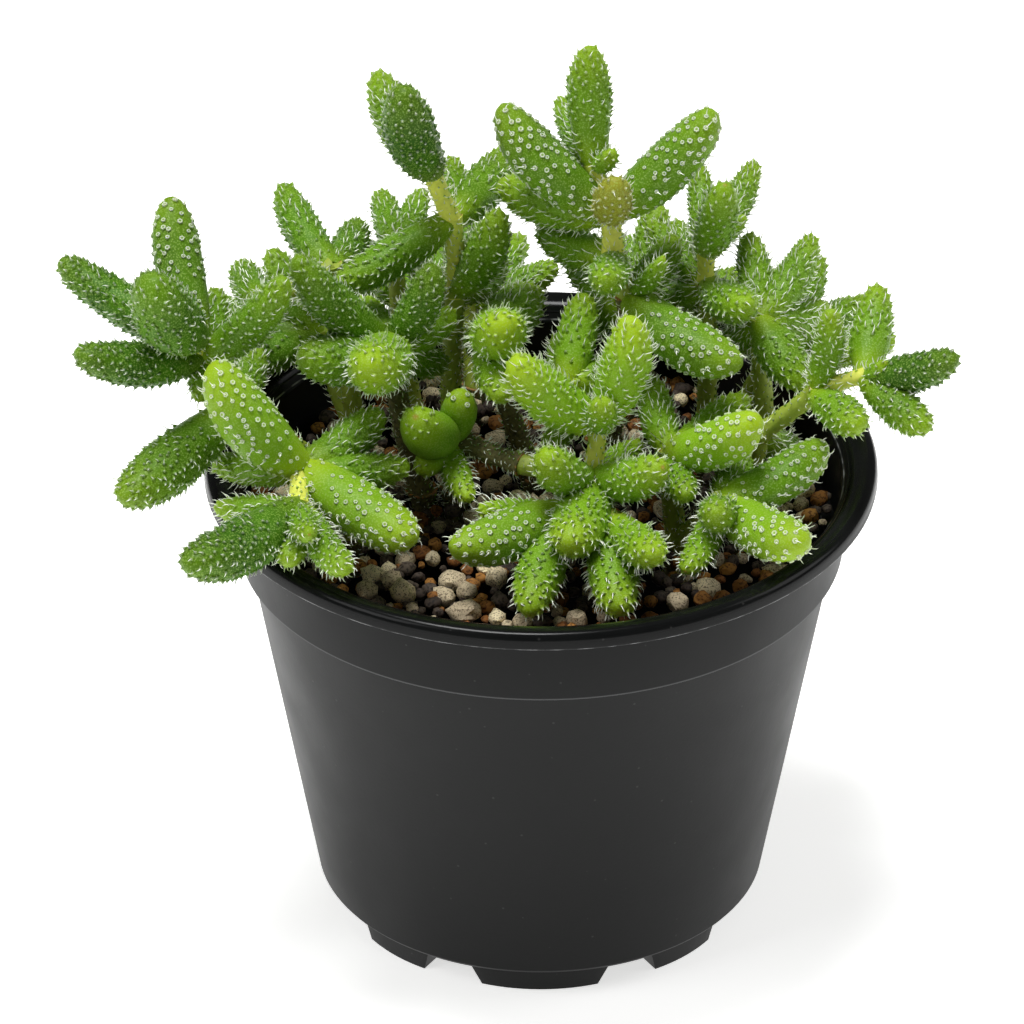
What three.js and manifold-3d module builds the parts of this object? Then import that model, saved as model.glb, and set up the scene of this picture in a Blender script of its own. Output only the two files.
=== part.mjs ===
// Potted pickle plant: a bristly small-leaved succulent in a round plastic nursery pot.
// Millimetres, +Z up. Everything is placed from the pot's axis, which stands on z = 0, and the
// group is then centred on the footprint of the whole object.
import * as THREE from "three";
import { mergeVertices } from "three/addons/utils/BufferGeometryUtils.js";
import Module from "manifold-3d";

const wasm = await Module();
wasm.setup();

// Driving dimensions of the pot
const potHeight = 67;
const rimRadius = 45;
const rimInnerRadius = 42.1;
const rimEdge = 0.7;
const skirtDrop = 2.3;
const skirtWall = 0.9;
const underRimHeight = 65.7;
const collarRadius = 41;
const collarFootRadius = 40.8;
const collarInnerRadius = 40;
const collarDraft = 0.2;
const shoulderHeight = 54.3;
const shoulderRise = 0.6;
const wallTopRadius = 39.2;
const wallFootRadius = 30.4;
const wall = 1;
const baseHeight = 4.1;
const floorThickness = 1.3;
const potSides = 40;

// Feet under the pot and the drain holes in its floor
const footCount = 8;
const wideFootAngle = 41;
const footAngle = 25;
const footTaperAngle = 4;
const footInnerRadius = 23.5;
const footOuterRadius = 28.6;
const footSink = 0.5;
const drainRadius = 3.2;
const drainRingRadius = 17.5;
const drainSides = 6;

// Soil, with grains standing out of its top and plain holes for the stems
const soilTop = 58.5;
const clearance = 0.3;
const rootDepth = 12;
const holeSides = 6;
const rubbleCells = 14;
const rubbleHeight = 1.1;
const rubbleShift = 0.6;
const grainCount = 20;
const grainFieldRadius = 36;
const grainSizes = [1.7, 2.6];
const grainDepths = [0.6, 0.9];
const grainHeights = [0.55, 0.75];
const grainTilt = 0.8;
const grainSeat = 0.1;
const grainTop = 1.9;
const grainKeepOff = 3.4;
const goldenAngle = 137.5;
const soilSeed = 11;

// Leaves: a fleshy body, a little flatter on top, with pointed papillae standing out of it and a
// bristle at its tip
const leafSides = 6;
const leafRings = 5;
const papillaHeight = 0.8;
const tipBristle = 1;
const leafBow = 0.05;
const leafFlat = 0.15;
const leafNeck = 0.05;
const leafBelly = 0.5;
const leafPoint = 0.45;
const stemSides = 6;
const nodeReach = 1;

// Corners nearer to each other than the first are one corner, and edges shorter than the second are
// closed up when pieces are joined
const cornerTolerance = 1e-4;
const meshTolerance = 0.02;
const cutOvershoot = 1;

// How leaves push each other aside: each keeps a gap round itself, leaves of one shoot may sink into
// each other a little, and each round turns a leaf by a share of what pushes it
const settleRounds = 60;
const settleSteps = [0.12, 0.34, 0.56, 0.78, 0.95];
const settleShare = 0.4;
const leafGap = 0.65;
const ownOverlap = 1;
const stemGap = 0.15;
const stemStep = 2.5;
const rimGap = 0.6;

// Each shoot: joints as [joint it grows from, x, y, z, stem diameter], the first one at the soil,
// and leaves as [joint, turn, rise, length, width]. Turn is the angle from +X towards +Y and rise
// the angle above level, in degrees.
const shoots = [
  {
    name: "shoot_left_high",
    joints: [
      [-1, -23, 3, 60, 3], [0, -41, -6, 77.5, 2.6], [1, -44.5, -3, 84, 2.4], [2, -45.5, -4, 87, 2.2],
    ],
    leaves: [
      [3, 155, 20, 21.5, 6.5], [3, 105, 45, 20, 7], [3, 235, 55, 17, 9], [2, 205, 15, 19, 6.5],
      [2, 85, 10, 14, 4.5], [2, 340, 50, 18.5, 6], [1, 230, -10, 22, 8], [2, 265, -35, 6.5, 3.5],
      [1, 75, 10, 13, 4.5],
    ],
  },
  {
    name: "shoot_left_front",
    joints: [[-1, -25, -9, 60, 3], [0, -31.5, -14, 73.5, 2.6], [1, -31.5, -22, 72.5, 2.4]],
    leaves: [
      [1, 185, 55, 20, 9], [1, 320, -10, 20, 8.5], [1, 45, 10, 15, 6], [1, 150, -15, 14.5, 5],
      [1, 10, -5, 14.5, 5.5], [2, 230, 0, 22.5, 8], [2, 165, -10, 12, 4.5], [2, 275, 10, 12.5, 4],
      [2, 265, -10, 11, 5], [2, 295, -5, 15.5, 5],
    ],
  },
  {
    name: "shoot_upper_left",
    joints: [
      [-1, -12, 12, 60, 3], [0, -11.5, 14, 84, 2.6], [1, -12, 13, 96, 2.6], [2, -14.5, 11, 104, 2.4],
    ],
    leaves: [
      [3, 240, 65, 18, 7.5], [3, 115, 20, 19, 6], [2, 205, -20, 18, 6], [2, 65, 5, 18, 6],
      [2, 90, 10, 13, 4], [1, 330, 65, 16, 6], [1, 70, -10, 17, 5.5], [1, 110, -15, 17, 5],
    ],
  },
  {
    name: "shoot_back_left",
    joints: [[-1, -25, 14, 60, 2.8], [0, -28, 13, 88.5, 2.4], [1, -37, 8, 86, 2.2]],
    leaves: [[1, 115, 15, 17, 5.5], [1, 75, 0, 13, 5], [2, 105, -5, 13, 5], [1, 120, -45, 13, 5]],
  },
  {
    name: "shoot_inner_left",
    joints: [[-1, -17, 22, 60, 2.6], [0, -19.5, 21, 86.5, 2.2]],
    leaves: [[1, 100, 5, 14.5, 4.5], [1, 75, 10, 13.5, 4], [1, 120, -25, 13.5, 4.5]],
  },
  {
    name: "shoot_centre_left",
    joints: [[-1, -16, 2, 60, 3.2], [0, -20, 2, 83, 2.6]],
    leaves: [
      [1, 200, 50, 20.5, 6.5], [1, 350, 65, 14, 6], [1, 260, 20, 17, 8.5], [1, 215, 10, 14.5, 8],
      [1, 50, -35, 13.5, 5.5], [1, 40, 5, 11, 5.5], [1, 110, 0, 12.5, 5.5],
    ],
  },
  {
    name: "shoot_centre_front",
    joints: [
      [-1, -11.5, 3, 60, 3.4], [0, -12.5, 0, 70, 3], [1, -3, -6, 69.5, 2.6], [2, 6.5, -12, 70.5, 2.6],
      [3, 7.5, -10, 78, 2.4], [3, 3, -16, 68.5, 2.4], [3, 9.5, -19, 68.5, 2.4],
    ],
    leaves: [
      [4, 200, 45, 17, 7.5], [4, 355, 75, 17, 7.5], [4, 275, 50, 9, 4.5], [3, 315, 30, 15.5, 6.5],
      [3, 235, 40, 14, 6.5], [3, 260, 0, 17, 8], [3, 55, 0, 12, 4.5], [5, 215, 0, 18, 7.5],
      [5, 155, -15, 13, 4.5], [5, 255, -20, 19, 6.5], [6, 275, -20, 15.5, 7], [6, 290, 10, 15.5, 6],
      [1, 250, 40, 15, 7.5], [1, 295, 65, 10, 5.5], [1, 245, -5, 8.5, 4.5], [1, 285, -15, 12, 4],
    ],
  },
  {
    name: "shoot_centre",
    joints: [[-1, -1, 6, 60, 3], [0, 3.5, -2, 79.5, 2.4], [0, -7.5, 5, 83, 2.4]],
    leaves: [
      [2, 65, -5, 15.5, 7.5], [2, 285, 35, 13, 7.5], [2, 280, -10, 13.5, 5.5], [1, 95, 0, 13, 4.5],
      [1, 145, -75, 13, 4.5], [1, 75, 45, 12.5, 5.5], [2, 90, -35, 10, 5.5], [1, 30, 5, 12, 5.5],
    ],
  },
  {
    name: "shoot_top",
    joints: [
      [-1, 9, 12, 60, 3.2], [0, 11.5, 6, 88, 2.8], [1, 9.5, 7, 93.5, 2.8], [2, 9, 9, 99, 2.8],
      [3, 7, 11, 105, 2.2],
    ],
    leaves: [
      [3, 170, 45, 21, 8], [3, 10, 45, 20, 7.5], [3, 150, 0, 17, 6.5], [3, 275, 50, 12, 5.5],
      [4, 100, 75, 16.5, 6], [4, 110, 15, 14, 4], [4, 305, 45, 6, 3], [2, 265, 15, 12, 5.5],
      [1, 335, 55, 9, 3], [1, 320, -10, 19.5, 8], [1, 115, -10, 18, 6], [1, 115, -40, 15.5, 6],
      [1, 65, -60, 13, 5.5], [1, 55, 20, 12, 5], [2, 130, -5, 15, 6],
    ],
  },
  {
    name: "shoot_back_right",
    joints: [[-1, 22, 14, 60, 2.8], [0, 22, 12, 86.5, 2.4], [1, 22, 13, 91, 2.2]],
    leaves: [
      [2, 290, 65, 15, 5.5], [2, 95, 25, 15, 4], [2, 65, 20, 17, 4.5], [2, 40, 25, 7.5, 2.5],
      [1, 295, 15, 13.5, 6], [1, 105, 5, 15.5, 4.5], [1, 125, 15, 14, 4], [1, 120, -30, 13, 5],
    ],
  },
  {
    name: "shoot_right_back",
    joints: [[-1, 31, 8, 60, 2.8], [0, 29, 8, 83.5, 2.4]],
    leaves: [
      [1, 95, 20, 15, 5], [1, 60, 20, 16, 5], [1, 45, -15, 14, 5], [1, 305, -25, 12, 6.5],
      [1, 115, -40, 14, 5], [1, 115, -10, 12.5, 5],
    ],
  },
  {
    name: "shoot_right",
    joints: [[-1, 27, -3, 60, 3], [0, 29, -4, 73, 2.6], [1, 36, -6, 80.5, 2.4], [2, 42.5, -7, 83.5, 2]],
    leaves: [
      [2, 15, 80, 12.5, 4.5], [2, 85, 35, 6, 2], [3, 80, 30, 14, 5.5], [3, 335, 25, 14.5, 5.5],
      [3, 310, -10, 13, 5.5], [3, 320, 45, 5, 2.5], [2, 300, 5, 12, 5.5], [1, 65, -35, 13, 5],
    ],
  },
  {
    name: "shoot_right_front",
    joints: [[-1, 18, -10, 60, 3], [0, 17, -9, 73, 2.6], [0, 23.5, -18, 70.5, 2.6]],
    leaves: [
      [1, 325, 35, 17, 7.5], [1, 45, 10, 15, 5.5], [1, 280, 0, 11.5, 4.5], [1, 100, 15, 14, 5],
      [2, 305, 10, 19, 7.5], [2, 30, 15, 17, 7], [2, 265, 25, 11, 5.5], [2, 75, 5, 13, 5],
      [2, 250, -10, 14, 4.5],
    ],
  },
  {
    name: "shoot_rear_left",
    joints: [[-1, -25, 18, 60, 2.8], [0, -30, 23, 72, 2.4]],
    leaves: [
      [1, 150, 0, 18, 6.5], [1, 100, 5, 17, 6], [1, 205, 0, 17, 6], [1, 60, 15, 14, 5],
      [1, 130, 40, 14, 5.5],
    ],
  },
  {
    name: "shoot_rear_inner",
    joints: [[-1, -9, 30, 60, 2.8], [0, -10, 34, 71, 2.4]],
    leaves: [
      [1, 115, 10, 18, 6.5], [1, 65, 5, 17, 6], [1, 160, 5, 15.5, 6], [1, 90, 45, 15, 5.5],
      [1, 20, 15, 13.5, 5],
    ],
  },
  {
    name: "shoot_rear_right",
    joints: [[-1, 12, 29, 60, 2.8], [0, 14, 33, 71, 2.4]],
    leaves: [
      [1, 100, 5, 16.5, 6], [1, 60, 10, 18.5, 6.5], [1, 10, 15, 15, 5.5], [1, 80, 45, 15, 5.5],
      [1, 140, 20, 14, 5],
    ],
  },
  {
    name: "shoot_rear_far_right",
    joints: [[-1, 26, 19, 60, 2.8], [0, 32, 22, 72, 2.4]],
    leaves: [
      [1, 40, 0, 17, 6], [1, 90, 5, 17, 6], [1, 0, 0, 16, 5.5], [1, 60, 35, 14, 5.5],
      [1, 330, 10, 13, 5],
    ],
  },
];

const materials = {
  pot: new THREE.MeshStandardMaterial({ color: "#2b2b2c", roughness: 0.45, metalness: 0 }),
  soil: new THREE.MeshStandardMaterial({ color: "#6f6254", roughness: 1, metalness: 0 }),
  shoot: new THREE.MeshStandardMaterial({ color: "#6f8f3f", roughness: 0.5, metalness: 0 }),
};

const radians = THREE.MathUtils.degToRad;

// Turn a closed geometry into a solid that can be joined and cut.
function solidFrom(geometry) {
  const bare = geometry.clone();
  bare.deleteAttribute("normal");
  bare.deleteAttribute("uv");
  const merged = mergeVertices(bare, cornerTolerance);
  const corners = merged.index.array;
  const kept = [];
  for (let i = 0; i < corners.length; i += 3) {
    const [a, b, c] = [corners[i], corners[i + 1], corners[i + 2]];
    if (a !== b && b !== c && c !== a) kept.push(a, b, c);
  }
  return new wasm.Manifold(new wasm.Mesh({
    numProp: 3,
    vertProperties: new Float32Array(merged.attributes.position.array),
    triVerts: new Uint32Array(kept),
    tolerance: meshTolerance,
  }));
}

// Turn a solid back into a named mesh.
function meshFrom(solid, name, material) {
  const result = solid.getMesh();
  const positions = new Float32Array(result.vertProperties);
  const geometry = new THREE.BufferGeometry();
  geometry.setAttribute("position", new THREE.BufferAttribute(positions, 3));
  geometry.setIndex(new THREE.BufferAttribute(new Uint32Array(result.triVerts), 1));
  geometry.computeVertexNormals();
  const mesh = new THREE.Mesh(geometry, material);
  mesh.name = name;
  return mesh;
}

// A small repeatable source of chance, from 0 to 1.
function chanceFrom(seed) {
  let state = seed;
  return () => {
    state = (state + 0x6d2b79f5) | 0;
    let value = Math.imul(state ^ (state >>> 15), 1 | state);
    value = (value + Math.imul(value ^ (value >>> 7), 61 | value)) ^ value;
    return ((value ^ (value >>> 14)) >>> 0) / 4294967296;
  };
}

// A profile of [radius, height] points turned round the Z axis.
function turned(profile, sides) {
  const points = profile.map(([radius, height]) => new THREE.Vector2(radius, height));
  return solidFrom(new THREE.LatheGeometry(points, sides).rotateX(Math.PI / 2));
}

function upright(radius, low, high, x, y, sides) {
  const geometry = new THREE.CylinderGeometry(radius, radius, high - low, sides).rotateX(Math.PI / 2);
  return solidFrom(geometry.translate(x, y, (low + high) / 2));
}

// One foot: a short block along the pot's edge, narrower and rounded towards the ground.
function foot(turn, angle) {
  const outline = new THREE.Shape();
  const half = radians(angle / 2);
  outline.absarc(0, 0, footOuterRadius, turn - half, turn + half, false);
  outline.absarc(0, 0, footInnerRadius, turn + half, turn - half, true);
  const height = baseHeight + footSink;
  const options = { depth: height, steps: 1, bevelEnabled: false, curveSegments: 2 };
  const geometry = new THREE.ExtrudeGeometry(outline, options);
  const position = geometry.attributes.position;
  for (let i = 0; i < position.count; i++) {
    const x = position.getX(i);
    const y = position.getY(i);
    const swing = Math.atan2(y, x) - turn;
    const along = Math.atan2(Math.sin(swing), Math.cos(swing));
    const shrink = 1 - (radians(footTaperAngle) / half) * (1 - position.getZ(i) / height);
    const radius = Math.hypot(x, y);
    position.setXY(i, radius * Math.cos(turn + along * shrink), radius * Math.sin(turn + along * shrink));
  }
  return solidFrom(geometry);
}

function makePot() {
  const floorTop = baseHeight + floorThickness;
  const body = turned([
    [0, baseHeight],
    [wallFootRadius, baseHeight],
    [wallTopRadius, shoulderHeight - shoulderRise],
    [collarFootRadius, shoulderHeight],
    [collarRadius, underRimHeight],
    [rimRadius - skirtWall, underRimHeight],
    [rimRadius - skirtWall, potHeight - skirtDrop],
    [rimRadius, potHeight - skirtDrop],
    [rimRadius, potHeight - rimEdge],
    [rimRadius - rimEdge, potHeight],
    [rimInnerRadius, potHeight],
    [collarInnerRadius, potHeight - skirtDrop],
    [collarInnerRadius - collarDraft, shoulderHeight + wall],
    [wallTopRadius - wall, shoulderHeight + wall - shoulderRise],
    [wallFootRadius - wall, floorTop],
    [0, floorTop],
  ], potSides);
  const feet = [];
  const drains = [];
  for (let i = 0; i < footCount; i++) {
    const turn = radians(-90 + (360 / footCount) * i);
    feet.push(foot(turn, i === 0 ? wideFootAngle : footAngle));
    const x = drainRingRadius * Math.cos(turn);
    const y = drainRingRadius * Math.sin(turn);
    drains.push(upright(drainRadius, 0, floorTop + cutOvershoot, x, y, drainSides));
  }
  const whole = wasm.Manifold.union([body, ...feet]);
  return meshFrom(whole.subtract(wasm.Manifold.union(drains)), "pot", materials.pot);
}

// The width of a leaf along its length, as a share of its full width.
function leafFullness(t) {
  const top = (leafBelly - leafNeck * leafPoint) / (leafBelly + leafPoint);
  const shape = (s) => Math.pow(s + leafNeck, leafBelly) * Math.pow(Math.max(0, 1 - s), leafPoint);
  return shape(t) / shape(top);
}

// A leaf's own directions: along it, to its side and up out of its flatter face.
function leafAxes(turn, rise) {
  const level = Math.cos(rise);
  const along = new THREE.Vector3(level * Math.cos(turn), level * Math.sin(turn), Math.sin(rise));
  const side = new THREE.Vector3(-Math.sin(turn), Math.cos(turn), 0);
  return { along, side, up: new THREE.Vector3().crossVectors(along, side) };
}

// The middle line of a leaf: it bows a little, so that its tip lifts.
function leafMiddle(leaf, t) {
  const { along, up } = leafAxes(leaf.turn, leaf.rise);
  const point = leaf.root.clone().addScaledVector(along, leaf.length * t);
  return point.addScaledVector(up, -4 * leafBow * leaf.length * t * (1 - t));
}

// A leaf: a sphere drawn out along its middle line, with a papilla on every other corner.
function makeLeaf(leaf) {
  const { along, side, up } = leafAxes(leaf.turn, leaf.rise);
  const geometry = new THREE.SphereGeometry(1, leafSides, leafRings);
  const position = geometry.attributes.position;
  const spot = new THREE.Vector3();
  for (let i = 0; i < position.count; i++) {
    spot.fromBufferAttribute(position, i);
    const polar = Math.acos(THREE.MathUtils.clamp(spot.y, -1, 1));
    const around = Math.atan2(spot.z, spot.x);
    const ring = Math.round((polar / Math.PI) * leafRings);
    const column = Math.round((around / (2 * Math.PI)) * leafSides + leafSides);
    const t = (1 - Math.cos(polar)) / 2;
    const isPole = ring === 0 || ring === leafRings;
    const raised = !isPole && ring > 1 && (ring + column) % 2 === 0;
    const radius = isPole ? 0 : (leaf.width / 2) * leafFullness(t) + (raised ? papillaHeight : 0);
    const flat = 1 - leafFlat * Math.max(0, Math.sin(around));
    const point = leafMiddle(leaf, t).addScaledVector(along, ring === leafRings ? tipBristle : 0);
    point.addScaledVector(side, radius * Math.cos(around));
    point.addScaledVector(up, radius * Math.sin(around) * flat);
    position.setXYZ(i, point.x, point.y, point.z);
  }
  return solidFrom(geometry);
}

// A stem between two points, thinner at its far end.
function makeStem(from, to, fromRadius, toRadius) {
  const way = to.clone().sub(from);
  const geometry = new THREE.CylinderGeometry(toRadius, fromRadius, way.length(), stemSides);
  const axis = new THREE.Vector3(0, 1, 0);
  const heading = way.clone().normalize();
  geometry.applyQuaternion(new THREE.Quaternion().setFromUnitVectors(axis, heading));
  const middle = from.clone().add(to).multiplyScalar(0.5);
  return solidFrom(geometry.translate(middle.x, middle.y, middle.z));
}

function jointPoint(joint) {
  return new THREE.Vector3(joint[1], joint[2], joint[3]);
}

// Points along every leaf and stem, as balls that keep clear of each other.
function leafBalls(leaf) {
  return settleSteps.map((t) => ({
    t,
    centre: leafMiddle(leaf, t),
    radius: (leaf.width / 2) * leafFullness(t) + leafGap,
  }));
}

function stemBalls(shoot, index) {
  const balls = [];
  for (const joint of shoot.joints) {
    if (joint[0] < 0) continue;
    const from = jointPoint(shoot.joints[joint[0]]);
    const to = jointPoint(joint);
    const steps = Math.ceil(from.distanceTo(to) / stemStep);
    for (let k = 0; k <= steps; k++) {
      const centre = from.clone().lerp(to, k / steps);
      balls.push({ shoot: index, centre, radius: joint[4] / 2 + stemGap });
    }
  }
  return balls;
}

// How far a ball is pushed out of another one that it would touch.
function pushOut(centre, radius, other, otherRadius) {
  const way = centre.clone().sub(other);
  const gap = way.length();
  return way.multiplyScalar(Math.max(0, radius + otherRadius - gap) / gap);
}

// The point of the pot's rim that is nearest to a place.
function rimPoint(place) {
  const distance = Math.hypot(place.x, place.y);
  const share = THREE.MathUtils.clamp(distance, rimInnerRadius, rimRadius) / distance;
  return new THREE.Vector3(place.x * share, place.y * share, potHeight);
}

// All that pushes one leaf: other leaves, other shoots' stems, the rim and the soil. What pushes
// near its base turns it more.
function pushOn(leaf, balls, others, stems) {
  const push = new THREE.Vector3();
  for (const { t, centre, radius } of balls) {
    const share = 1 / (t * leaf.length);
    for (const other of others) {
      if (other.leaf === leaf) continue;
      const isOwn = other.leaf.shoot === leaf.shoot;
      if (isOwn && (t < settleSteps[2] || other.t < settleSteps[2])) continue;
      const reach = other.radius - (isOwn ? 2 * leafGap + ownOverlap : 0);
      push.addScaledVector(pushOut(centre, radius, other.centre, reach), share / 2);
    }
    for (const stem of stems) {
      if (stem.shoot === leaf.shoot) continue;
      push.addScaledVector(pushOut(centre, radius, stem.centre, stem.radius), share);
    }
    push.addScaledVector(pushOut(centre, radius, rimPoint(centre), rimGap), share);
    const isOverSoil = Math.hypot(centre.x, centre.y) < rimInnerRadius;
    const lift = isOverSoil ? Math.max(0, soilTop + grainTop + radius - centre.z) : 0;
    push.z += lift * share;
  }
  return push;
}

// Leaves that would touch each other, a stem, the soil or the rim are turned about their bases.
function settle(leaves, stems) {
  for (let round = 0; round < settleRounds; round++) {
    const balls = leaves.map(leafBalls);
    const others = balls.flatMap((own, index) => own.map((ball) => ({ ...ball, leaf: leaves[index] })));
    const pushes = leaves.map((leaf, index) => pushOn(leaf, balls[index], others, stems));
    leaves.forEach((leaf, index) => {
      const { along } = leafAxes(leaf.turn, leaf.rise);
      const way = along.addScaledVector(pushes[index], settleShare).normalize();
      leaf.turn = Math.atan2(way.y, way.x);
      leaf.rise = Math.asin(way.z);
    });
  }
}

// A shoot: its stems from joint to joint, the first one down into the soil, and its leaves.
function makeShoot(shoot, leaves) {
  const pieces = [];
  for (const joint of shoot.joints) {
    const point = jointPoint(joint);
    const radius = joint[4] / 2;
    if (joint[0] < 0) {
      const low = new THREE.Vector3(point.x, point.y, soilTop - rootDepth);
      pieces.push(makeStem(low, point, radius, radius));
      continue;
    }
    const parent = shoot.joints[joint[0]];
    const start = jointPoint(parent);
    const end = point.clone().add(point.clone().sub(start).setLength(nodeReach));
    pieces.push(makeStem(start, end, parent[4] / 2, radius));
  }
  for (const leaf of leaves) pieces.push(makeLeaf(leaf));
  return meshFrom(wasm.Manifold.union(pieces), shoot.name, materials.shoot);
}

// A stone of the soil's top: an eight-faced lump, turned and squashed by chance.
function makeGrain(x, y, chance) {
  const between = ([low, high], share) => THREE.MathUtils.lerp(low, high, share);
  const size = between(grainSizes, chance() ** 2);
  const geometry = new THREE.OctahedronGeometry(size, 0);
  geometry.scale(1, between(grainDepths, chance()), between(grainHeights, chance()));
  geometry.rotateX((chance() - 0.5) * grainTilt).rotateZ(chance() * 2 * Math.PI);
  return solidFrom(geometry.translate(x, y, soilTop + grainSeat * size));
}

// Loose rubble: a sheet of small cells whose corners lie at chance heights.
function makeRubble(low) {
  const width = 2 * collarRadius;
  const cell = width / rubbleCells;
  const geometry = new THREE.BoxGeometry(width, width, soilTop - low, rubbleCells, rubbleCells, 1);
  geometry.translate(0, 0, (soilTop + low) / 2);
  const position = geometry.attributes.position;
  for (let i = 0; i < position.count; i++) {
    if (position.getZ(i) < soilTop - rubbleHeight) continue;
    const column = Math.round(position.getX(i) / cell) + rubbleCells;
    const row = Math.round(position.getY(i) / cell) + rubbleCells;
    const chance = chanceFrom(column * 4 * rubbleCells + row);
    position.setX(i, position.getX(i) + (chance() - 0.5) * cell * rubbleShift);
    position.setY(i, position.getY(i) + (chance() - 0.5) * cell * rubbleShift);
    position.setZ(i, soilTop + (chance() * 2 - 1) * rubbleHeight);
  }
  return solidFrom(geometry);
}

function makeSoil() {
  const floorTop = baseHeight + floorThickness + clearance;
  const slope = (wallTopRadius - wallFootRadius) / (shoulderHeight - shoulderRise - baseHeight);
  const lowRadius = wallFootRadius - wall - clearance + slope * clearance;
  const body = turned([
    [0, floorTop],
    [lowRadius, floorTop],
    [wallTopRadius - wall - 2 * clearance, shoulderHeight + wall - shoulderRise + clearance],
    [collarInnerRadius - wall, shoulderHeight + wall + clearance],
    [collarInnerRadius - wall, soilTop + grainTop],
    [0, soilTop + grainTop],
  ], potSides);
  const chance = chanceFrom(soilSeed);
  const filling = body.intersect(makeRubble(floorTop - cutOvershoot));
  const roots = shoots.map((shoot) => shoot.joints[0]);
  const grains = [];
  for (let i = 0; i < grainCount; i++) {
    const radius = grainFieldRadius * Math.sqrt((i + 0.5) / grainCount);
    const turn = radians(goldenAngle * i);
    const x = radius * Math.cos(turn) + chance() - 0.5;
    const y = radius * Math.sin(turn) + chance() - 0.5;
    const grain = makeGrain(x, y, chance);
    const isFree = roots.every(([, rootX, rootY, , width]) => {
      return Math.hypot(x - rootX, y - rootY) > grainKeepOff + width / 2;
    });
    if (isFree) grains.push(grain);
  }
  const low = soilTop - rootDepth - clearance;
  const high = soilTop + grainTop + cutOvershoot;
  const holes = roots.map(([, x, y, , width]) => {
    const radius = width / 2 + clearance / Math.cos(Math.PI / holeSides);
    return upright(radius, low, high, x, y, holeSides);
  });
  const whole = wasm.Manifold.union([filling, ...grains]);
  return meshFrom(whole.subtract(wasm.Manifold.union(holes)), "soil", materials.soil);
}

function listLeaves(shoot, index) {
  return shoot.leaves.map(([joint, turn, rise, length, width]) => ({
    shoot: index,
    root: jointPoint(shoot.joints[joint]),
    turn: radians(turn),
    rise: radians(rise),
    length,
    width,
  }));
}

const leaves = shoots.flatMap(listLeaves);
settle(leaves, shoots.flatMap(stemBalls));

const plant = new THREE.Group();
plant.add(makePot(), makeSoil());
shoots.forEach((shoot, index) => {
  plant.add(makeShoot(shoot, leaves.filter((leaf) => leaf.shoot === index)));
});

const footprint = new THREE.Box3().setFromObject(plant);
const middle = footprint.getCenter(new THREE.Vector3());
plant.position.set(-middle.x, -middle.y, 0);

export default plant;
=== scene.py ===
"""A pickle plant in its nursery pot: the looks of the pot, the gritty soil and the leafy shoots."""

import math

import bmesh
import bpy
import numpy as np
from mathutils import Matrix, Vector


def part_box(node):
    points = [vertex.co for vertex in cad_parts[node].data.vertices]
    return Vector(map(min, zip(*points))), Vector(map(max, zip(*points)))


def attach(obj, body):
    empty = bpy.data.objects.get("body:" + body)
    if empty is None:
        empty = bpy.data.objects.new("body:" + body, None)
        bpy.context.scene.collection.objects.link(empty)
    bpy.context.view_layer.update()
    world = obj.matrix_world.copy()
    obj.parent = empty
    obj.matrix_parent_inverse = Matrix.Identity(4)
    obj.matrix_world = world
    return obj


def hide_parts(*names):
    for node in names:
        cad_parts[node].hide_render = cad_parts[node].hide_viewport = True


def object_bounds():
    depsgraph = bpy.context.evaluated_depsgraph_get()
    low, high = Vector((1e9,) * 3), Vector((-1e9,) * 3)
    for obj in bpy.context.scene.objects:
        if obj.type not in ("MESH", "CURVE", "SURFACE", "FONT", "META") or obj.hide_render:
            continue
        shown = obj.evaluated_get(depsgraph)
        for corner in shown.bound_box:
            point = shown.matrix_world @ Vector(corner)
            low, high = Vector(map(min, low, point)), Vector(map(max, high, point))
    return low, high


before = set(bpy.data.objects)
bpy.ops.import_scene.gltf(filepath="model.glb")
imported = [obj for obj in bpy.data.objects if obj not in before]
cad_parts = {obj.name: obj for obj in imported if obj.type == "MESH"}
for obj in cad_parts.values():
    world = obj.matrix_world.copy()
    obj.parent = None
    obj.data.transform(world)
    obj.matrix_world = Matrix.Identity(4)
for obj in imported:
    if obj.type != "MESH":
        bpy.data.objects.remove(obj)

bl_info = {
    "name": "Potted Pickle Plant",
    "version": (1, 0, 0),
    "blender": (4, 5, 0),
    "location": "3D View > Sidebar > Pickle Plant",
    "description": "Models a bristly succulent in a nursery pot of gritty soil, on a plain stage",
    "category": "Object",
}

MM = 0.001
CAD_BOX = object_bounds()
POT_LOW, POT_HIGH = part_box("pot")

# The pot's axis stands here, in metres. Every place below is in mm from that axis.
AXIS = np.array([(POT_LOW.x + POT_HIGH.x) / 2, (POT_LOW.y + POT_HIGH.y) / 2, 0.0])
BOX_LOW, BOX_HIGH = [(np.array(corner) - AXIS) / MM for corner in CAD_BOX]

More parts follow.
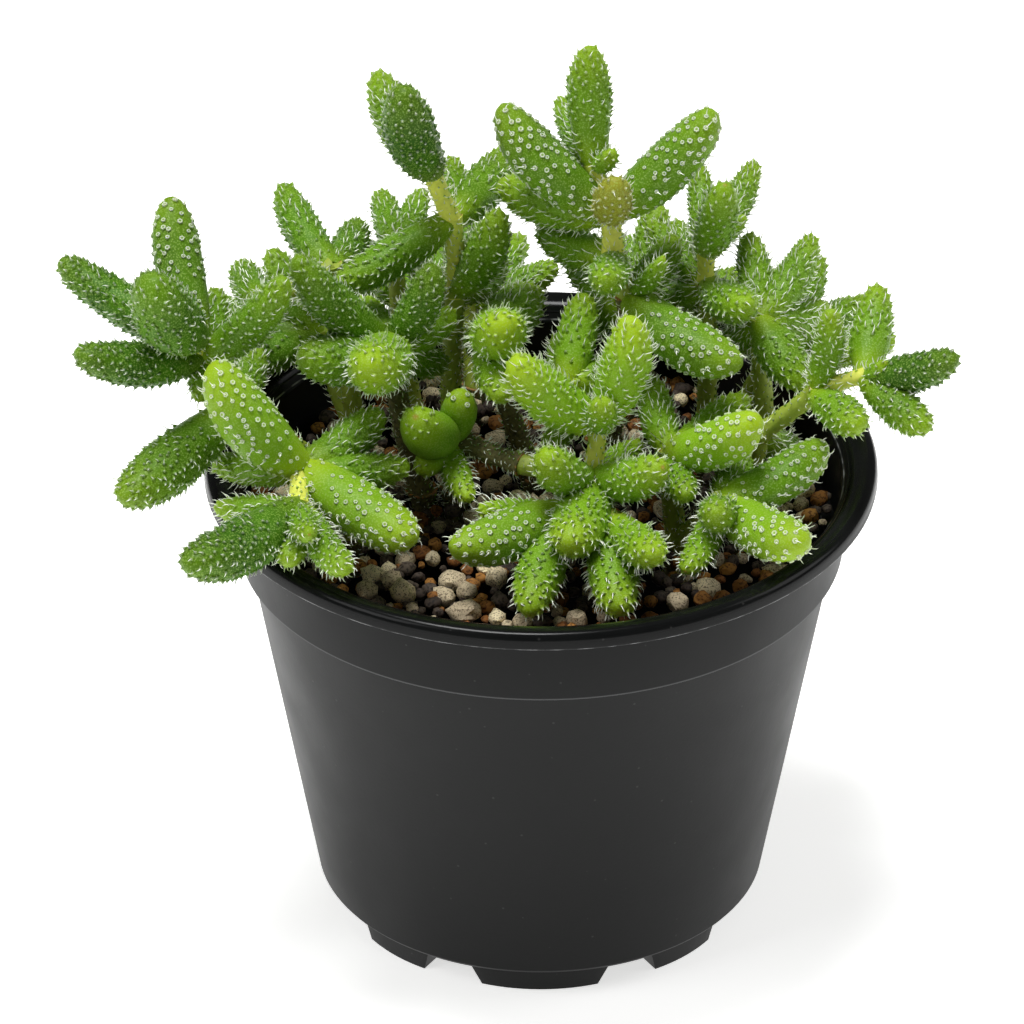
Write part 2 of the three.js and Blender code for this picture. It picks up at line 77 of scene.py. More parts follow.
# The pot, in mm
POT_HEIGHT = 67
BASE_HEIGHT = 4.1
FLOOR_TOP = 5.4
SHOULDER_HEIGHT = 54.3
LIP_FOOT = 64.75
POT_STEPS = 126
FOOT_COUNT = 8
FOOT_INNER = 23.5
FOOT_OUTER = 28.6
FOOT_ANGLE = 25
WIDE_FOOT_ANGLE = 41
FOOT_TAPER = 0.8
DRAIN_RADIUS = 3.2
DRAIN_RING = 17.5
DRAIN_SIDES = 32
DRILL_LENGTH = 8
WALL_TOP = 39.2
WALL_FOOT = 30.4
POT_PROFILE = [
    (0, BASE_HEIGHT), (FOOT_INNER, BASE_HEIGHT), (FOOT_OUTER, BASE_HEIGHT), (30, BASE_HEIGHT),
    (WALL_FOOT, 4.6), (WALL_TOP, 53.6), (40.55, SHOULDER_HEIGHT), (40.8, 64), (41, 65.7),
    (44.1, 65.7), (44.1, LIP_FOOT), (44.95, LIP_FOOT), (45, 65.1), (44.95, 66), (44.8, 66.45),
    (44.5, 66.8), (44.05, 66.98), (43.55, 66.95), (42.5, 66.7), (41.9, 66.5), (41.4, 66.05),
    (40.2, 64.4), (39.8, 55.3),
    (38.2, 54.6), (29.4, FLOOR_TOP), (0, FLOOR_TOP),
]

# Lines that go round the pot: height, half width of the line and of its fade in mm, and strength
FLASH_LINE = (LIP_FOOT, 0.05, 0.12, 1.0)
# The shoulder's line is a painted highlight along the edge where the collar meets the wall
SHOULDER_LINE = (SHOULDER_HEIGHT, 0.1, 0.25, 0.22)
# The rolled rim is rubbed smoother from this height up, in mm
RUBBED_FROM, RUBBED_TO = 65.2, 66

# The soil, in mm
SOIL_TOP = 58.5
SOIL_FOOT = FLOOR_TOP + 0.3
SOIL_RADIUS = 39.2
SOIL_STEPS = 72
SOIL_PROFILE = [(0, SOIL_FOOT), (28.9, SOIL_FOOT), (37.6, 54.8), (39, 55.7), (SOIL_RADIUS, 57.6)]
GROUND_LEVEL = SOIL_TOP - 0.8
GROUND_ROUGHNESS = 0.45
TOP_RINGS = 22

# The loose stones, in mm. Each form is a seed and how flat it is
STONE_FORMS = ((1, 0.75), (2, 0.85), (4, 0.65), (6, 0.8), (9, 0.7))
STONE_ROUGHNESS = 0.13
STONE_WIDTH = 0.85
STONE_LEAN = 0.5
# A stone's middle lies at this level, and higher by a share of its size
STONE_LEVEL = SOIL_TOP - 0.2
STONE_RISE = 0.16
GRAIN_RADIUS = 39.6
GRAIN_TRIES = 60000
# Sizes by share of all grains, the largest first, and how near two grains may lie by their sizes
GRAIN_SIZES = ((0.1, 2.6, 4.2, 0.4), (0.6, 1.7, 2.9, 0.4), (1, 1.1, 1.9, 0.26))
# Pumice stones that lie where they show between the leaves: x, y and size
SHOWN_PUMICE = [
    (-11.7, -18.1, 4.2), (-9.9, -27.0, 4.5), (-18.1, -22.3, 3.9), (-22.9, -21.3, 3.6), (-19.8, -18.6, 3.2),
    (-18.0, -13.0, 3.2), (-14.3, -13.8, 2.4), (-5.7, -28.0, 2.7), (4.7, -28.5, 3.2), (22.1, -19.8, 4.2),
    (19.2, -15.8, 3.4), (18.0, -24.8, 3.5), (8.2, -24.3, 2.4), (15.6, 22.0, 2.6), (12.8, 18.0, 2.7),
    (-29.3, -14.3, 2.2), (34.8, 1.0, 2.4),
]

# How leaves and stems push each other aside, as in the solids. Lengths are in mm
SETTLE_ROUNDS = 60
SETTLE_STEPS = np.array([0.12, 0.34, 0.56, 0.78, 0.95])
SETTLE_SHARE = 0.4
LEAF_GAP = 0.65
OWN_OVERLAP = 1
STEM_GAP = 0.15
STEM_STEP = 2.5
GRAIN_TOP = 1.9
RIM_INNER_RADIUS = 42.1
RIM_RADIUS = 45
RIM_GAP = 0.6

# The form of a leaf, as shares of its length and width
LEAF_BOW = 0.05
LEAF_FLAT = 0.15
LEAF_NECK = 0.05
LEAF_BELLY = 0.5
LEAF_POINT = 0.45
LEAF_SIDES = 20
LEAF_RINGS = 16
GOLDEN_ANGLE = math.radians(137.508)
OUTLINE_SAMPLES = 60

# The form of a stem, in mm: how deep it starts in the soil, how far a stretch runs on into its node,
# and how far the look of a node reaches
STEM_SIDES = 12
STEM_LEVELS = 12
ROOT_DEPTH = 4
NODE_OVERLAP = 0.6
NODE_REACH = 1.2

# The coat of the leaves, in mm where it is a length. The body is a little slimmer than the solid,
# whose width takes in the papillae
BODY_SHARE = 0.95
SMALL_LEAF = 5.2
SMOOTH_UP_TO = 0.88
PAPILLA_RIM = 0.14
PAPILLA_DIP = 0.05
PAPILLA_POINT = 0.42
PAPILLA_SINK = 0.18
PAPILLA_LEAN = 0.3
# Sides of the pointed and the ringed papillae, and the shares of the set width that the pointed ones
# have at their foot and the ringed ones at their top
POINTED_SIDES, RINGED_SIDES = 5, 6
POINTED_FOOT, RINGED_TOP = 1.1, 0.72
BRISTLE_RADIUS = 0.09
BRISTLE_FOOT = 0.04
BRISTLE_STEPS = 3
BRISTLE_TAPER = 0.85
# How strong the painted highlight on the papillae is: on the rims of ringed ones on broad leaves with clear
# faces, and on the tips of all others
RING_OF_BROAD = 1.0
RING_OF_OTHERS = 0.8
# Broad leaves keep their bristles this near to their edges, as the sine of the angle round the leaf
EDGE_REACH = 0.35
# The tint of a withered leaf. All others lie between 0 and 1
WITHERED = 1.5
# Shares of the papillae that carry no bristle, on the faces of broad leaves and on old leaves
CLEAR_OF_BROAD = 0.85
CLEAR_OF_OLD = 0.5
# Kinds of bristle, the shortest first: share of the full length, and how far it curls over in radians
BRISTLE_KINDS = ((0.5, 0.5), (0.6, 1.3), (0.7, 0.9), (0.8, 1.7), (0.9, 0.6), (1, 1.5), (1.1, 1))

# How far fresh and old leaves stand off from the youth of their shoot, and the youth of stems
FRESH_GAIN = 0.4
OLD_LOSS = 0.25
# Slim leaves are younger than broad ones: the width in mm that changes nothing, and the gain per mm
MIDDLE_WIDTH, SLIM_GAIN = 6, 0.04
OLD_STEM_YOUTH, GREEN_STEM_YOUTH, YELLOW_STEM_YOUTH = 0.25, 0.4, 1.0

# Each shoot: joints as (joint it grows from, x, y, z, stem diameter), the first one at the soil,
# and leaves as (joint, turn, rise, length, width), in mm from the pot's axis and in degrees. Youth is
# 0 for old dark green and 1 for fresh yellow-green. The other lists name leaves that are fresh, old,
# smooth, ringed with clear faces, or dry, and joints whose stem is yellow or woody.
SHOOTS = [
    {
        "name": "shoot_left_high", "youth": 0.25, "old": (0, 3), "yellow": (2, 3), "ringed": (1,),
        "joints": [
            (-1, -23, 3, 60, 3), (0, -41, -6, 77.5, 2.6), (1, -44.5, -3, 84, 2.4), (2, -45.5, -4, 87, 2.2),
        ],
        "leaves": [
            (3, 155, 20, 21.5, 6.5), (3, 105, 45, 20, 7), (3, 235, 55, 17, 9), (2, 205, 15, 19, 6.5),
            (2, 85, 10, 14, 4.5), (2, 340, 50, 18.5, 6), (1, 230, -10, 22, 8), (2, 265, -35, 6.5, 3.5),
            (1, 75, 10, 13, 4.5),
        ],
    },
    {
        "name": "shoot_left_front", "youth": 0.35,
        "fresh": (0, 1), "old": (5,), "yellow": (2,), "ringed": (0, 1),
        "joints": [(-1, -25, -9, 60, 3), (0, -31.5, -14, 73.5, 2.6), (1, -31.5, -22, 72.5, 2.4)],
        "leaves": [
            (1, 185, 55, 20, 9), (1, 320, -10, 20, 8.5), (1, 45, 10, 15, 6), (1, 150, -15, 14.5, 5),
            (1, 10, -5, 14.5, 5.5), (2, 230, 0, 22.5, 8), (2, 165, -10, 12, 4.5), (2, 275, 10, 12.5, 4),
            (2, 265, -10, 11, 5), (2, 295, -5, 15.5, 5),
        ],
    },
    {
        "name": "shoot_upper_left", "youth": 0.3, "old": (0,), "yellow": (2, 3),
        "joints": [
            (-1, -12, 12, 60, 3), (0, -11.5, 14, 84, 2.6), (1, -12, 13, 96, 2.6), (2, -14.5, 11, 104, 2.4),
        ],
        "leaves": [
            (3, 240, 65, 18, 7.5), (3, 115, 20, 19, 6), (2, 205, -20, 18, 6), (2, 65, 5, 18, 6),
            (2, 90, 10, 13, 4), (1, 330, 65, 16, 6), (1, 70, -10, 17, 5.5), (1, 110, -15, 17, 5),
        ],
    },
    {
        "name": "shoot_back_left", "youth": 0.2,
        "joints": [(-1, -25, 14, 60, 2.8), (0, -28, 13, 88.5, 2.4), (1, -37, 8, 86, 2.2)],
        "leaves": [(1, 115, 15, 17, 5.5), (1, 75, 0, 13, 5), (2, 105, -5, 13, 5), (1, 120, -45, 13, 5)],
    },
    {
        "name": "shoot_inner_left", "youth": 0.2,
        "joints": [(-1, -17, 22, 60, 2.6), (0, -19.5, 21, 86.5, 2.2)],
        "leaves": [(1, 100, 5, 14.5, 4.5), (1, 75, 10, 13.5, 4), (1, 120, -25, 13.5, 4.5)],
    },
    {
        "name": "shoot_centre_left", "youth": 0.4, "fresh": (2,), "old": (0, 1), "woody": (1,),
        "joints": [(-1, -16, 2, 60, 3.2), (0, -20, 2, 83, 2.6)],
        "leaves": [
            (1, 200, 50, 20.5, 6.5), (1, 350, 65, 14, 6), (1, 260, 20, 17, 8.5), (1, 215, 10, 14.5, 8),
            (1, 50, -35, 13.5, 5.5), (1, 40, 5, 11, 5.5), (1, 110, 0, 12.5, 5.5),
        ],
    },
    {
        "name": "shoot_centre_front", "youth": 0.55,
        "fresh": (0, 1), "smooth": (12, 13, 14), "yellow": (4,), "woody": (1, 2), "ringed": (7, 13),
        "joints": [
            (-1, -11.5, 3, 60, 3.4), (0, -12.5, 0, 70, 3), (1, -3, -6, 69.5, 2.6), (2, 6.5, -12, 70.5, 2.6),
            (3, 7.5, -10, 78, 2.4), (3, 3, -16, 68.5, 2.4), (3, 9.5, -19, 68.5, 2.4),
        ],
        "leaves": [
            (4, 200, 45, 17, 7.5), (4, 355, 75, 17, 7.5), (4, 275, 50, 9, 4.5), (3, 315, 30, 15.5, 6.5),
            (3, 235, 40, 14, 6.5), (3, 260, 0, 17, 8), (3, 55, 0, 12, 4.5), (5, 215, 0, 18, 7.5),
            (5, 155, -15, 13, 4.5), (5, 255, -20, 19, 6.5), (6, 275, -20, 15.5, 7), (6, 290, 10, 15.5, 6),
            (1, 250, 40, 15, 7.5), (1, 295, 65, 10, 5.5), (1, 245, -5, 8.5, 4.5), (1, 285, -15, 12, 4),
        ],
    },
    {
        "name": "shoot_centre", "youth": 0.5, "fresh": (1,), "woody": (1, 2),
        "joints": [(-1, -1, 6, 60, 3), (0, 3.5, -2, 79.5, 2.4), (0, -7.5, 5, 83, 2.4)],
        "leaves": [
            (2, 65, -5, 15.5, 7.5), (2, 285, 35, 13, 7.5), (2, 280, -10, 13.5, 5.5), (1, 95, 0, 13, 4.5),
            (1, 145, -75, 13, 4.5), (1, 75, 45, 12.5, 5.5), (2, 90, -35, 10, 5.5), (1, 30, 5, 12, 5.5),
        ],
    },
    {
        "name": "shoot_top", "youth": 0.35, "yellow": (3, 4), "woody": (1,), "ringed": (0, 1, 9), "dry": (3,),
        "joints": [
            (-1, 9, 12, 60, 3.2), (0, 11.5, 6, 88, 2.8), (1, 9.5, 7, 93.5, 2.8), (2, 9, 9, 99, 2.8),
            (3, 7, 11, 105, 2.2),
        ],
        "leaves": [
            (3, 170, 45, 21, 8), (3, 10, 45, 20, 7.5), (3, 150, 0, 17, 6.5), (3, 275, 50, 12, 5.5),
            (4, 100, 75, 16.5, 6), (4, 110, 15, 14, 4), (4, 305, 45, 6, 3), (2, 265, 15, 12, 5.5),
            (1, 335, 55, 9, 3), (1, 320, -10, 19.5, 8), (1, 115, -10, 18, 6), (1, 115, -40, 15.5, 6),
            (1, 65, -60, 13, 5.5), (1, 55, 20, 12, 5), (2, 130, -5, 15, 6),
        ],
    },
    {
        "name": "shoot_back_right", "youth": 0.3, "yellow": (2,),
        "joints": [(-1, 22, 14, 60, 2.8), (0, 22, 12, 86.5, 2.4), (1, 22, 13, 91, 2.2)],
        "leaves": [
            (2, 290, 65, 15, 5.5), (2, 95, 25, 15, 4), (2, 65, 20, 17, 4.5), (2, 40, 25, 7.5, 2.5),
            (1, 295, 15, 13.5, 6), (1, 105, 5, 15.5, 4.5), (1, 125, 15, 14, 4), (1, 120, -30, 13, 5),
        ],
    },
    {
        "name": "shoot_right_back", "youth": 0.35,
        "joints": [(-1, 31, 8, 60, 2.8), (0, 29, 8, 83.5, 2.4)],
        "leaves": [
            (1, 95, 20, 15, 5), (1, 60, 20, 16, 5), (1, 45, -15, 14, 5), (1, 305, -25, 12, 6.5),
            (1, 115, -40, 14, 5), (1, 115, -10, 12.5, 5),
        ],
    },
    {
        "name": "shoot_right", "youth": 0.4, "old": (3,), "yellow": (3,),
        "joints": [(-1, 27, -3, 60, 3), (0, 29, -4, 73, 2.6), (1, 36, -6, 80.5, 2.4), (2, 42.5, -7, 83.5, 2)],
        "leaves": [
            (2, 15, 80, 12.5, 4.5), (2, 85, 35, 6, 2), (3, 80, 30, 14, 5.5), (3, 335, 25, 14.5, 5.5),
            (3, 310, -10, 13, 5.5), (3, 320, 45, 5, 2.5), (2, 300, 5, 12, 5.5), (1, 65, -35, 13, 5),
        ],
    },
    {
        "name": "shoot_right_front", "youth": 0.4, "fresh": (0, 4), "ringed": (0, 4, 5),
        "joints": [(-1, 18, -10, 60, 3), (0, 17, -9, 73, 2.6), (0, 23.5, -18, 70.5, 2.6)],
        "leaves": [
            (1, 325, 35, 17, 7.5), (1, 45, 10, 15, 5.5), (1, 280, 0, 11.5, 4.5), (1, 100, 15, 14, 5),
            (2, 305, 10, 19, 7.5), (2, 30, 15, 17, 7), (2, 265, 25, 11, 5.5), (2, 75, 5, 13, 5),
            (2, 250, -10, 14, 4.5),
        ],
    },
    {
        "name": "shoot_rear_left", "youth": 0.3,
        "joints": [(-1, -25, 18, 60, 2.8), (0, -30, 23, 72, 2.4)],
        "leaves": [
            (1, 150, 0, 18, 6.5), (1, 100, 5, 17, 6), (1, 205, 0, 17, 6), (1, 60, 15, 14, 5),
            (1, 130, 40, 14, 5.5),
        ],
    },
    {
        "name": "shoot_rear_inner", "youth": 0.35,
        "joints": [(-1, -9, 30, 60, 2.8), (0, -10, 34, 71, 2.4)],
        "leaves": [
            (1, 115, 10, 18, 6.5), (1, 65, 5, 17, 6), (1, 160, 5, 15.5, 6), (1, 90, 45, 15, 5.5),
            (1, 20, 15, 13.5, 5),
        ],
    },
    {
        "name": "shoot_rear_right", "youth": 0.3,
        "joints": [(-1, 12, 29, 60, 2.8), (0, 14, 33, 71, 2.4)],
        "leaves": [
            (1, 100, 5, 16.5, 6), (1, 60, 10, 18.5, 6.5), (1, 10, 15, 15, 5.5), (1, 80, 45, 15, 5.5),
            (1, 140, 20, 14, 5),
        ],
    },
    {
        "name": "shoot_rear_far_right", "youth": 0.35,
        "joints": [(-1, 26, 19, 60, 2.8), (0, 32, 22, 72, 2.4)],
        "leaves": [
            (1, 40, 0, 17, 6), (1, 90, 5, 17, 6), (1, 0, 0, 16, 5.5), (1, 60, 35, 14, 5.5),
            (1, 330, 10, 13, 5),
        ],
    },
]

# Material slots of a shoot, in this order
SKIN, BRISTLE, YOUNG_STEM, OLD_STEM = range(4)
# Material slots of the soil
PEAT, PUMICE, LAVA, DARK_GRIT = range(4)
SMALLER_KINDS = (LAVA, LAVA, DARK_GRIT, PUMICE, DARK_GRIT)

# The camera, in mm from the pot's axis
CAMERA_PLACE = (0, -933.4, 627.1)
CAMERA_AIM = (-3.9, 6.0, 54.6)
CAMERA_LENS = 286.7
# Places and sides of the square softboxes, in metres
TOP_LIGHT = ((-0.15, 0.05, 1.3), 0.45)
KEY_LIGHT = ((-0.85, -0.45, 0.85), 0.6)
RIM_LIGHT = ((0.95, 0.1, 0.7), 0.6)

# Edges sharper than the first are rounded on the pot, and those flatter than the second shade smooth
SHARP_ANGLE = math.radians(28)
SMOOTH_ANGLE = math.radians(40)


def linear(hex_colour):
    """An sRGB hex colour as linear red, green, blue and alpha."""
    channels = [int(hex_colour[i:i + 2], 16) / 255 for i in (1, 3, 5)]
    return [c / 12.92 if c <= 0.04045 else ((c + 0.055) / 1.055) ** 2.4 for c in channels] + [1.0]


def add(tree, kind, inputs=None, **settings):
    """Adds a node with its settings, and fills its inputs with values, sockets or other nodes. Of
    another node the first output in use is linked."""
    node = tree.nodes.new("ShaderNode" + kind)
    for name, value in settings.items():
        setattr(node, name, value)
    for name, value in (inputs or {}).items():
        if isinstance(value, bpy.types.Node):
            value = next(socket for socket in value.outputs if socket.enabled)
        if isinstance(value, bpy.types.NodeSocket):
            tree.links.new(value, node.inputs[name])
        else:
            node.inputs[name].default_value = value
    return node


def fresh_material(name):
    """An empty material and its node tree."""
    material = bpy.data.materials.new(name)
    material.use_nodes = True
    material.node_tree.nodes.clear()
    return material, material.node_tree


def layered(tree, colour, layers):
    """A colour with others laid over it, each as (share, colour)."""
    for share, over in layers:
        colour = add(tree, "Mix", {0: share, 6: colour, 7: over}, data_type="RGBA")
    return colour


def close_material(tree, inputs, height=None, depth=0.0, strength=0.7, invert=False):
    """Ends a material with its shader, and with bumps of that depth in mm where a height is given."""
    if height:
        inputs["Normal"] = add(
            tree, "Bump", {"Height": height, "Distance": depth * MM, "Strength": strength}, invert=invert
        )
    add(tree, "OutputMaterial", {"Surface": add(tree, "BsdfPrincipled", inputs)})


def colour_property(name, hex_colour, description):
    """A colour that a user can change."""
    return bpy.props.FloatVectorProperty(
        name=name, description=description, default=linear(hex_colour), size=4, subtype="COLOR", min=0, max=1
    )


def measure_property(name, default, unit, description):
    """A measure that a user can change. Lengths are in metres and powers in watts."""
    return bpy.props.FloatProperty(name=name, description=description, default=default, unit=unit)


def per_mm(size):
    """The scale of a pattern whose features are that many mm apart."""
    return 1 / (size * MM)


class PotSettings(bpy.types.PropertyGroup):
    """Sizes and colours of the pot."""

    edge: measure_property("Edge", 0.3 * MM, "LENGTH", "Rounding of the moulded edges")
    plastic: colour_property("Plastic", "#0c0d0d", "The charcoal black of the moulded pot")
    dust: colour_property("Dust", "#3c3c3b", "Specks of dust and grit on the pot")
    # Also the colour of the painted highlight along the shoulder's edge
    scuff: colour_property("Scuff", "#98999a", "The scuffed flash on the lip's lower edge")


class SoilSettings(bpy.types.PropertyGroup):
    """Sizes and colours of the soil."""

    grain_count: bpy.props.IntProperty(name="Grains", description="Loose grains on the top", default=900)
    pumice: colour_property("Pumice", "#dccba8", "The larger pale stones")
    lava: colour_property("Lava", "#9c6a33", "The brown and ochre grains")
    grit: colour_property("Dark Grit", "#52473e", "The near-black grains")
    # The near-black ground is partly peat and partly painted shade where deeper stones would lie in the dark
    peat: colour_property("Peat", "#150f0a", "The ground between the grains")


class PlantSettings(bpy.types.PropertyGroup):
    """Sizes and colours of the shoots."""

    papilla_gap: measure_property("Papilla Gap", 1.13 * MM, "LENGTH", "Spacing of papillae on a grown leaf")
    papilla_width: measure_property("Papilla Width", 0.85 * MM, "LENGTH", "Width of a papilla at its base")
    bristle_length: measure_property("Bristle Length", 1.4 * MM, "LENGTH", "Length of a full-grown bristle")
    deep_green: colour_property("Deep Green", "#26500a", "Old leaves and their shaded sides")
    leaf_green: colour_property("Leaf Green", "#4a7a0e", "Full-grown leaves")
    fresh_green: colour_property("Fresh Green", "#8ab81c", "Young leaves")
    neck_green: colour_property("Neck Green", "#b0c820", "Leaf bases and tips in the light")
    stem_yellow: colour_property("Stem Yellow", "#e2e860", "Young stems")
    # The pale dots of the water cells are painted glints
    bloom: colour_property("Bloom", "#a9c766", "The fine water cells of the skin")
    # Also the colour of the painted highlight on the papillae's rims and tips
    bristle: colour_property("Bristle", "#f4f8ea", "Bristles and the rims of the papillae")
    scar: colour_property("Scar", "#a9763f", "Dry scars at the nodes and leaf tips")
    bark: colour_property("Bark", "#7d6a4c", "Old woody stems")


class StageSettings(bpy.types.PropertyGroup):
    """The floor and the light."""

    floor: colour_property("Floor", "#fafaf9", "The plain pale floor")
    floor_size: measure_property("Floor Size", 4, "LENGTH", "Side of the floor")
    floor_glow: measure_property("Floor Glow", 0.7, "NONE", "Light that comes up through the floor")
    top_power: measure_property("Top Light", 15, "POWER", "Power of the softbox over the plant")
    key_power: measure_property("Key Light", 3.4, "POWER", "Power of the softbox at the left")
    rim_power: measure_property("Rim Light", 2.4, "POWER", "Power of the softbox at the right")
    sky: measure_property("Surround", 0.14, "NONE", "Strength of the white surround")


def start_clean():
    """Leaves edit mode and deselects everything."""
    if bpy.context.mode != "OBJECT":
        bpy.ops.object.mode_set(mode="OBJECT")
    bpy.ops.object.select_all(action="DESELECT")


def pick(test, kind="FACE"):
    """Selects, in edit mode, the faces or vertices that pass the test."""
    bpy.ops.mesh.select_mode(type=kind)
    bpy.ops.mesh.select_all(action="DESELECT")
    mesh = bpy.context.edit_object.data
    form = bmesh.from_edit_mesh(mesh)
    for part in form.faces if kind == "FACE" else form.verts:
        part.select = test(part)
    form.select_flush_mode()
    bmesh.update_edit_mesh(mesh)


def apply_modifier(piece, kind, **settings):
    """Adds a modifier to the piece and applies it."""
    modifier = piece.modifiers.new(kind.title(), kind)
    for name, value in settings.items():
        setattr(modifier, name, value)
    bpy.context.view_layer.objects.active = piece
    bpy.ops.object.modifier_apply(modifier=modifier.name)


def spun(name, profile, steps):
    """A profile of (radius, height) points in mm, drawn in front of the pot's axis and spun round it."""
    start_clean()
    bpy.ops.mesh.primitive_plane_add(size=MM, location=AXIS)
    piece = bpy.context.object
    piece.name = name
    bpy.ops.object.transform_apply(location=True)
    bpy.ops.object.mode_set(mode="EDIT")
    bpy.ops.mesh.merge(type="CENTER")
    bpy.ops.transform.translate(value=(0, -profile[0][0] * MM, profile[0][1] * MM))
    for (radius, height), (next_radius, next_height) in zip(profile, profile[1:]):
        step = (0, (radius - next_radius) * MM, (next_height - height) * MM)
        bpy.ops.mesh.extrude_vertices_move(TRANSFORM_OT_translate={"value": step})
    bpy.ops.mesh.select_all(action="SELECT")
    bpy.ops.mesh.spin(steps=steps, angle=2 * math.pi, center=AXIS, axis=(0, 0, 1))
    bpy.ops.mesh.select_all(action="SELECT")
    bpy.ops.mesh.remove_doubles(threshold=0.005 * MM)
    bpy.ops.mesh.normals_make_consistent(inside=False)
    return piece


def around_axis(place):
    """(radius in mm, angle) of a place round the pot's axis."""
    x, y = place[0] - AXIS[0], place[1] - AXIS[1]
    return math.hypot(x, y) / MM, math.atan2(y, x)


def finish_piece(piece, slot, *nodes):
    """Puts the piece's place into its mesh, smooths it, gives it its body and hides the parts of the
    nodes that it stands for. The slot is not used."""
    start_clean()
    piece.select_set(True)
    bpy.context.view_layer.objects.active = piece
    bpy.ops.object.transform_apply(location=True, rotation=True, scale=True)
    bpy.ops.object.shade_smooth_by_angle(angle=SMOOTH_ANGLE)
    bpy.ops.object.select_all(action="DESELECT")
    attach(piece, "root")
    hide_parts(*nodes)


def moulded_plastic(settings):
    """Polypropylene, injection moulded: a satin charcoal black, faintly grained, with soft highlights
    and a little dust. A lighter line shows where the mould's flash is worn, a painted highlight runs
    along the shoulder's edge, and the rolled rim is shinier."""
    material, tree = fresh_material("moulded black polypropylene")
    place = add(tree, "TexCoord").outputs["Object"]
    height = add(tree, "SeparateXYZ", {"Vector": place}).outputs["Z"]
    clouds = add(tree, "TexNoise", {"Vector": place, "Scale": per_mm(14), "Detail": 5.0})
    haze = add(tree, "MapRange", {0: clouds, 1: 0.35, 2: 0.7, 3: 0.0, 4: 0.06})
    # Dust: one speck in cells of 3 mm, drawn about 0.3 mm wide
    cells = add(tree, "TexVoronoi", {"Vector": place, "Scale": per_mm(3)})
    speck = add(tree, "MapRange", {0: cells, 1: 0.04, 2: 0.07, 3: 0.5, 4: 0.0})
    lines = []
    for level, core, fade, strength in (FLASH_LINE, SHOULDER_LINE):
        above = add(tree, "Math", {0: height, 1: level * MM}, operation="SUBTRACT")
        off = add(tree, "Math", {0: above}, operation="ABSOLUTE")
        lines.append(add(tree, "MapRange", {0: off, 1: core * MM, 2: fade * MM, 3: strength, 4: 0.0}))
    # Wear breaks the flash up
    wear = add(tree, "TexNoise", {"Vector": place, "Scale": per_mm(2.5), "Detail": 4.0})
    worn = add(tree, "MapRange", {0: wear, 1: 0.45, 2: 0.6, 3: 0.1, 4: 0.9})
    flash = add(tree, "Math", {0: lines[0], 1: worn}, operation="MULTIPLY")
    # The flash line is worn plastic; the shoulder line is a painted highlight along its edge
    colour = layered(tree, settings.plastic, (
        (haze, settings.dust), (speck, settings.dust), (flash, settings.scuff), (lines[1], settings.scuff),
    ))
    satin = add(tree, "MapRange", {0: clouds, 1: 0.3, 2: 0.7, 3: 0.4, 4: 0.5})
    rubbed = add(tree, "MapRange", {0: height, 1: RUBBED_FROM * MM, 2: RUBBED_TO * MM, 3: 1.0, 4: 0.42})
    roughness = add(tree, "Math", {0: satin, 1: rubbed}, operation="MULTIPLY")
    grain = add(tree, "TexNoise", {"Vector": place, "Scale": per_mm(0.5), "Detail": 3.0})
    close_material(tree, {
        "Base Color": colour, "Roughness": roughness, "IOR": 1.49, "Specular IOR Level": 0.14,
    }, grain, depth=0.02, strength=0.4)
    return material


def dry_stone(name, colour, pore_colour, pore_size, pore_share, roughness):
    """Porous stone, crushed and sieved: matt and mottled, with fine dark pores that read as specks."""
    material, tree = fresh_material(name)
    place = add(tree, "TexCoord").outputs["Object"]
    shade = add(tree, "Attribute", attribute_name="grain_shade").outputs["Fac"]
    pores = add(tree, "TexNoise", {"Vector": place, "Scale": per_mm(pore_size), "Detail": 3.0})
    dark = add(tree, "MapRange", {0: pores, 1: pore_share, 2: pore_share + 0.08, 3: 0.75, 4: 0.0})
    blotches = add(tree, "TexNoise", {"Vector": place, "Scale": per_mm(1.8), "Detail": 2.0})
    light = add(tree, "Math", {0: shade, 1: blotches}, operation="ADD")
    value = add(tree, "MapRange", {0: light, 1: 0.3, 2: 1.7, 3: 0.5, 4: 1.35})
    hue = add(tree, "MapRange", {0: shade, 1: 0.0, 2: 1.0, 3: 0.49, 4: 0.51})
    body = add(tree, "HueSaturation", {"Value": value, "Hue": hue, "Color": colour})
    mottled = layered(tree, body, [(dark, pore_colour)])
    close_material(
        tree, {"Base Color": mottled, "Roughness": roughness, "Specular IOR Level": 0.25}, pores, depth=0.1
    )
    return material


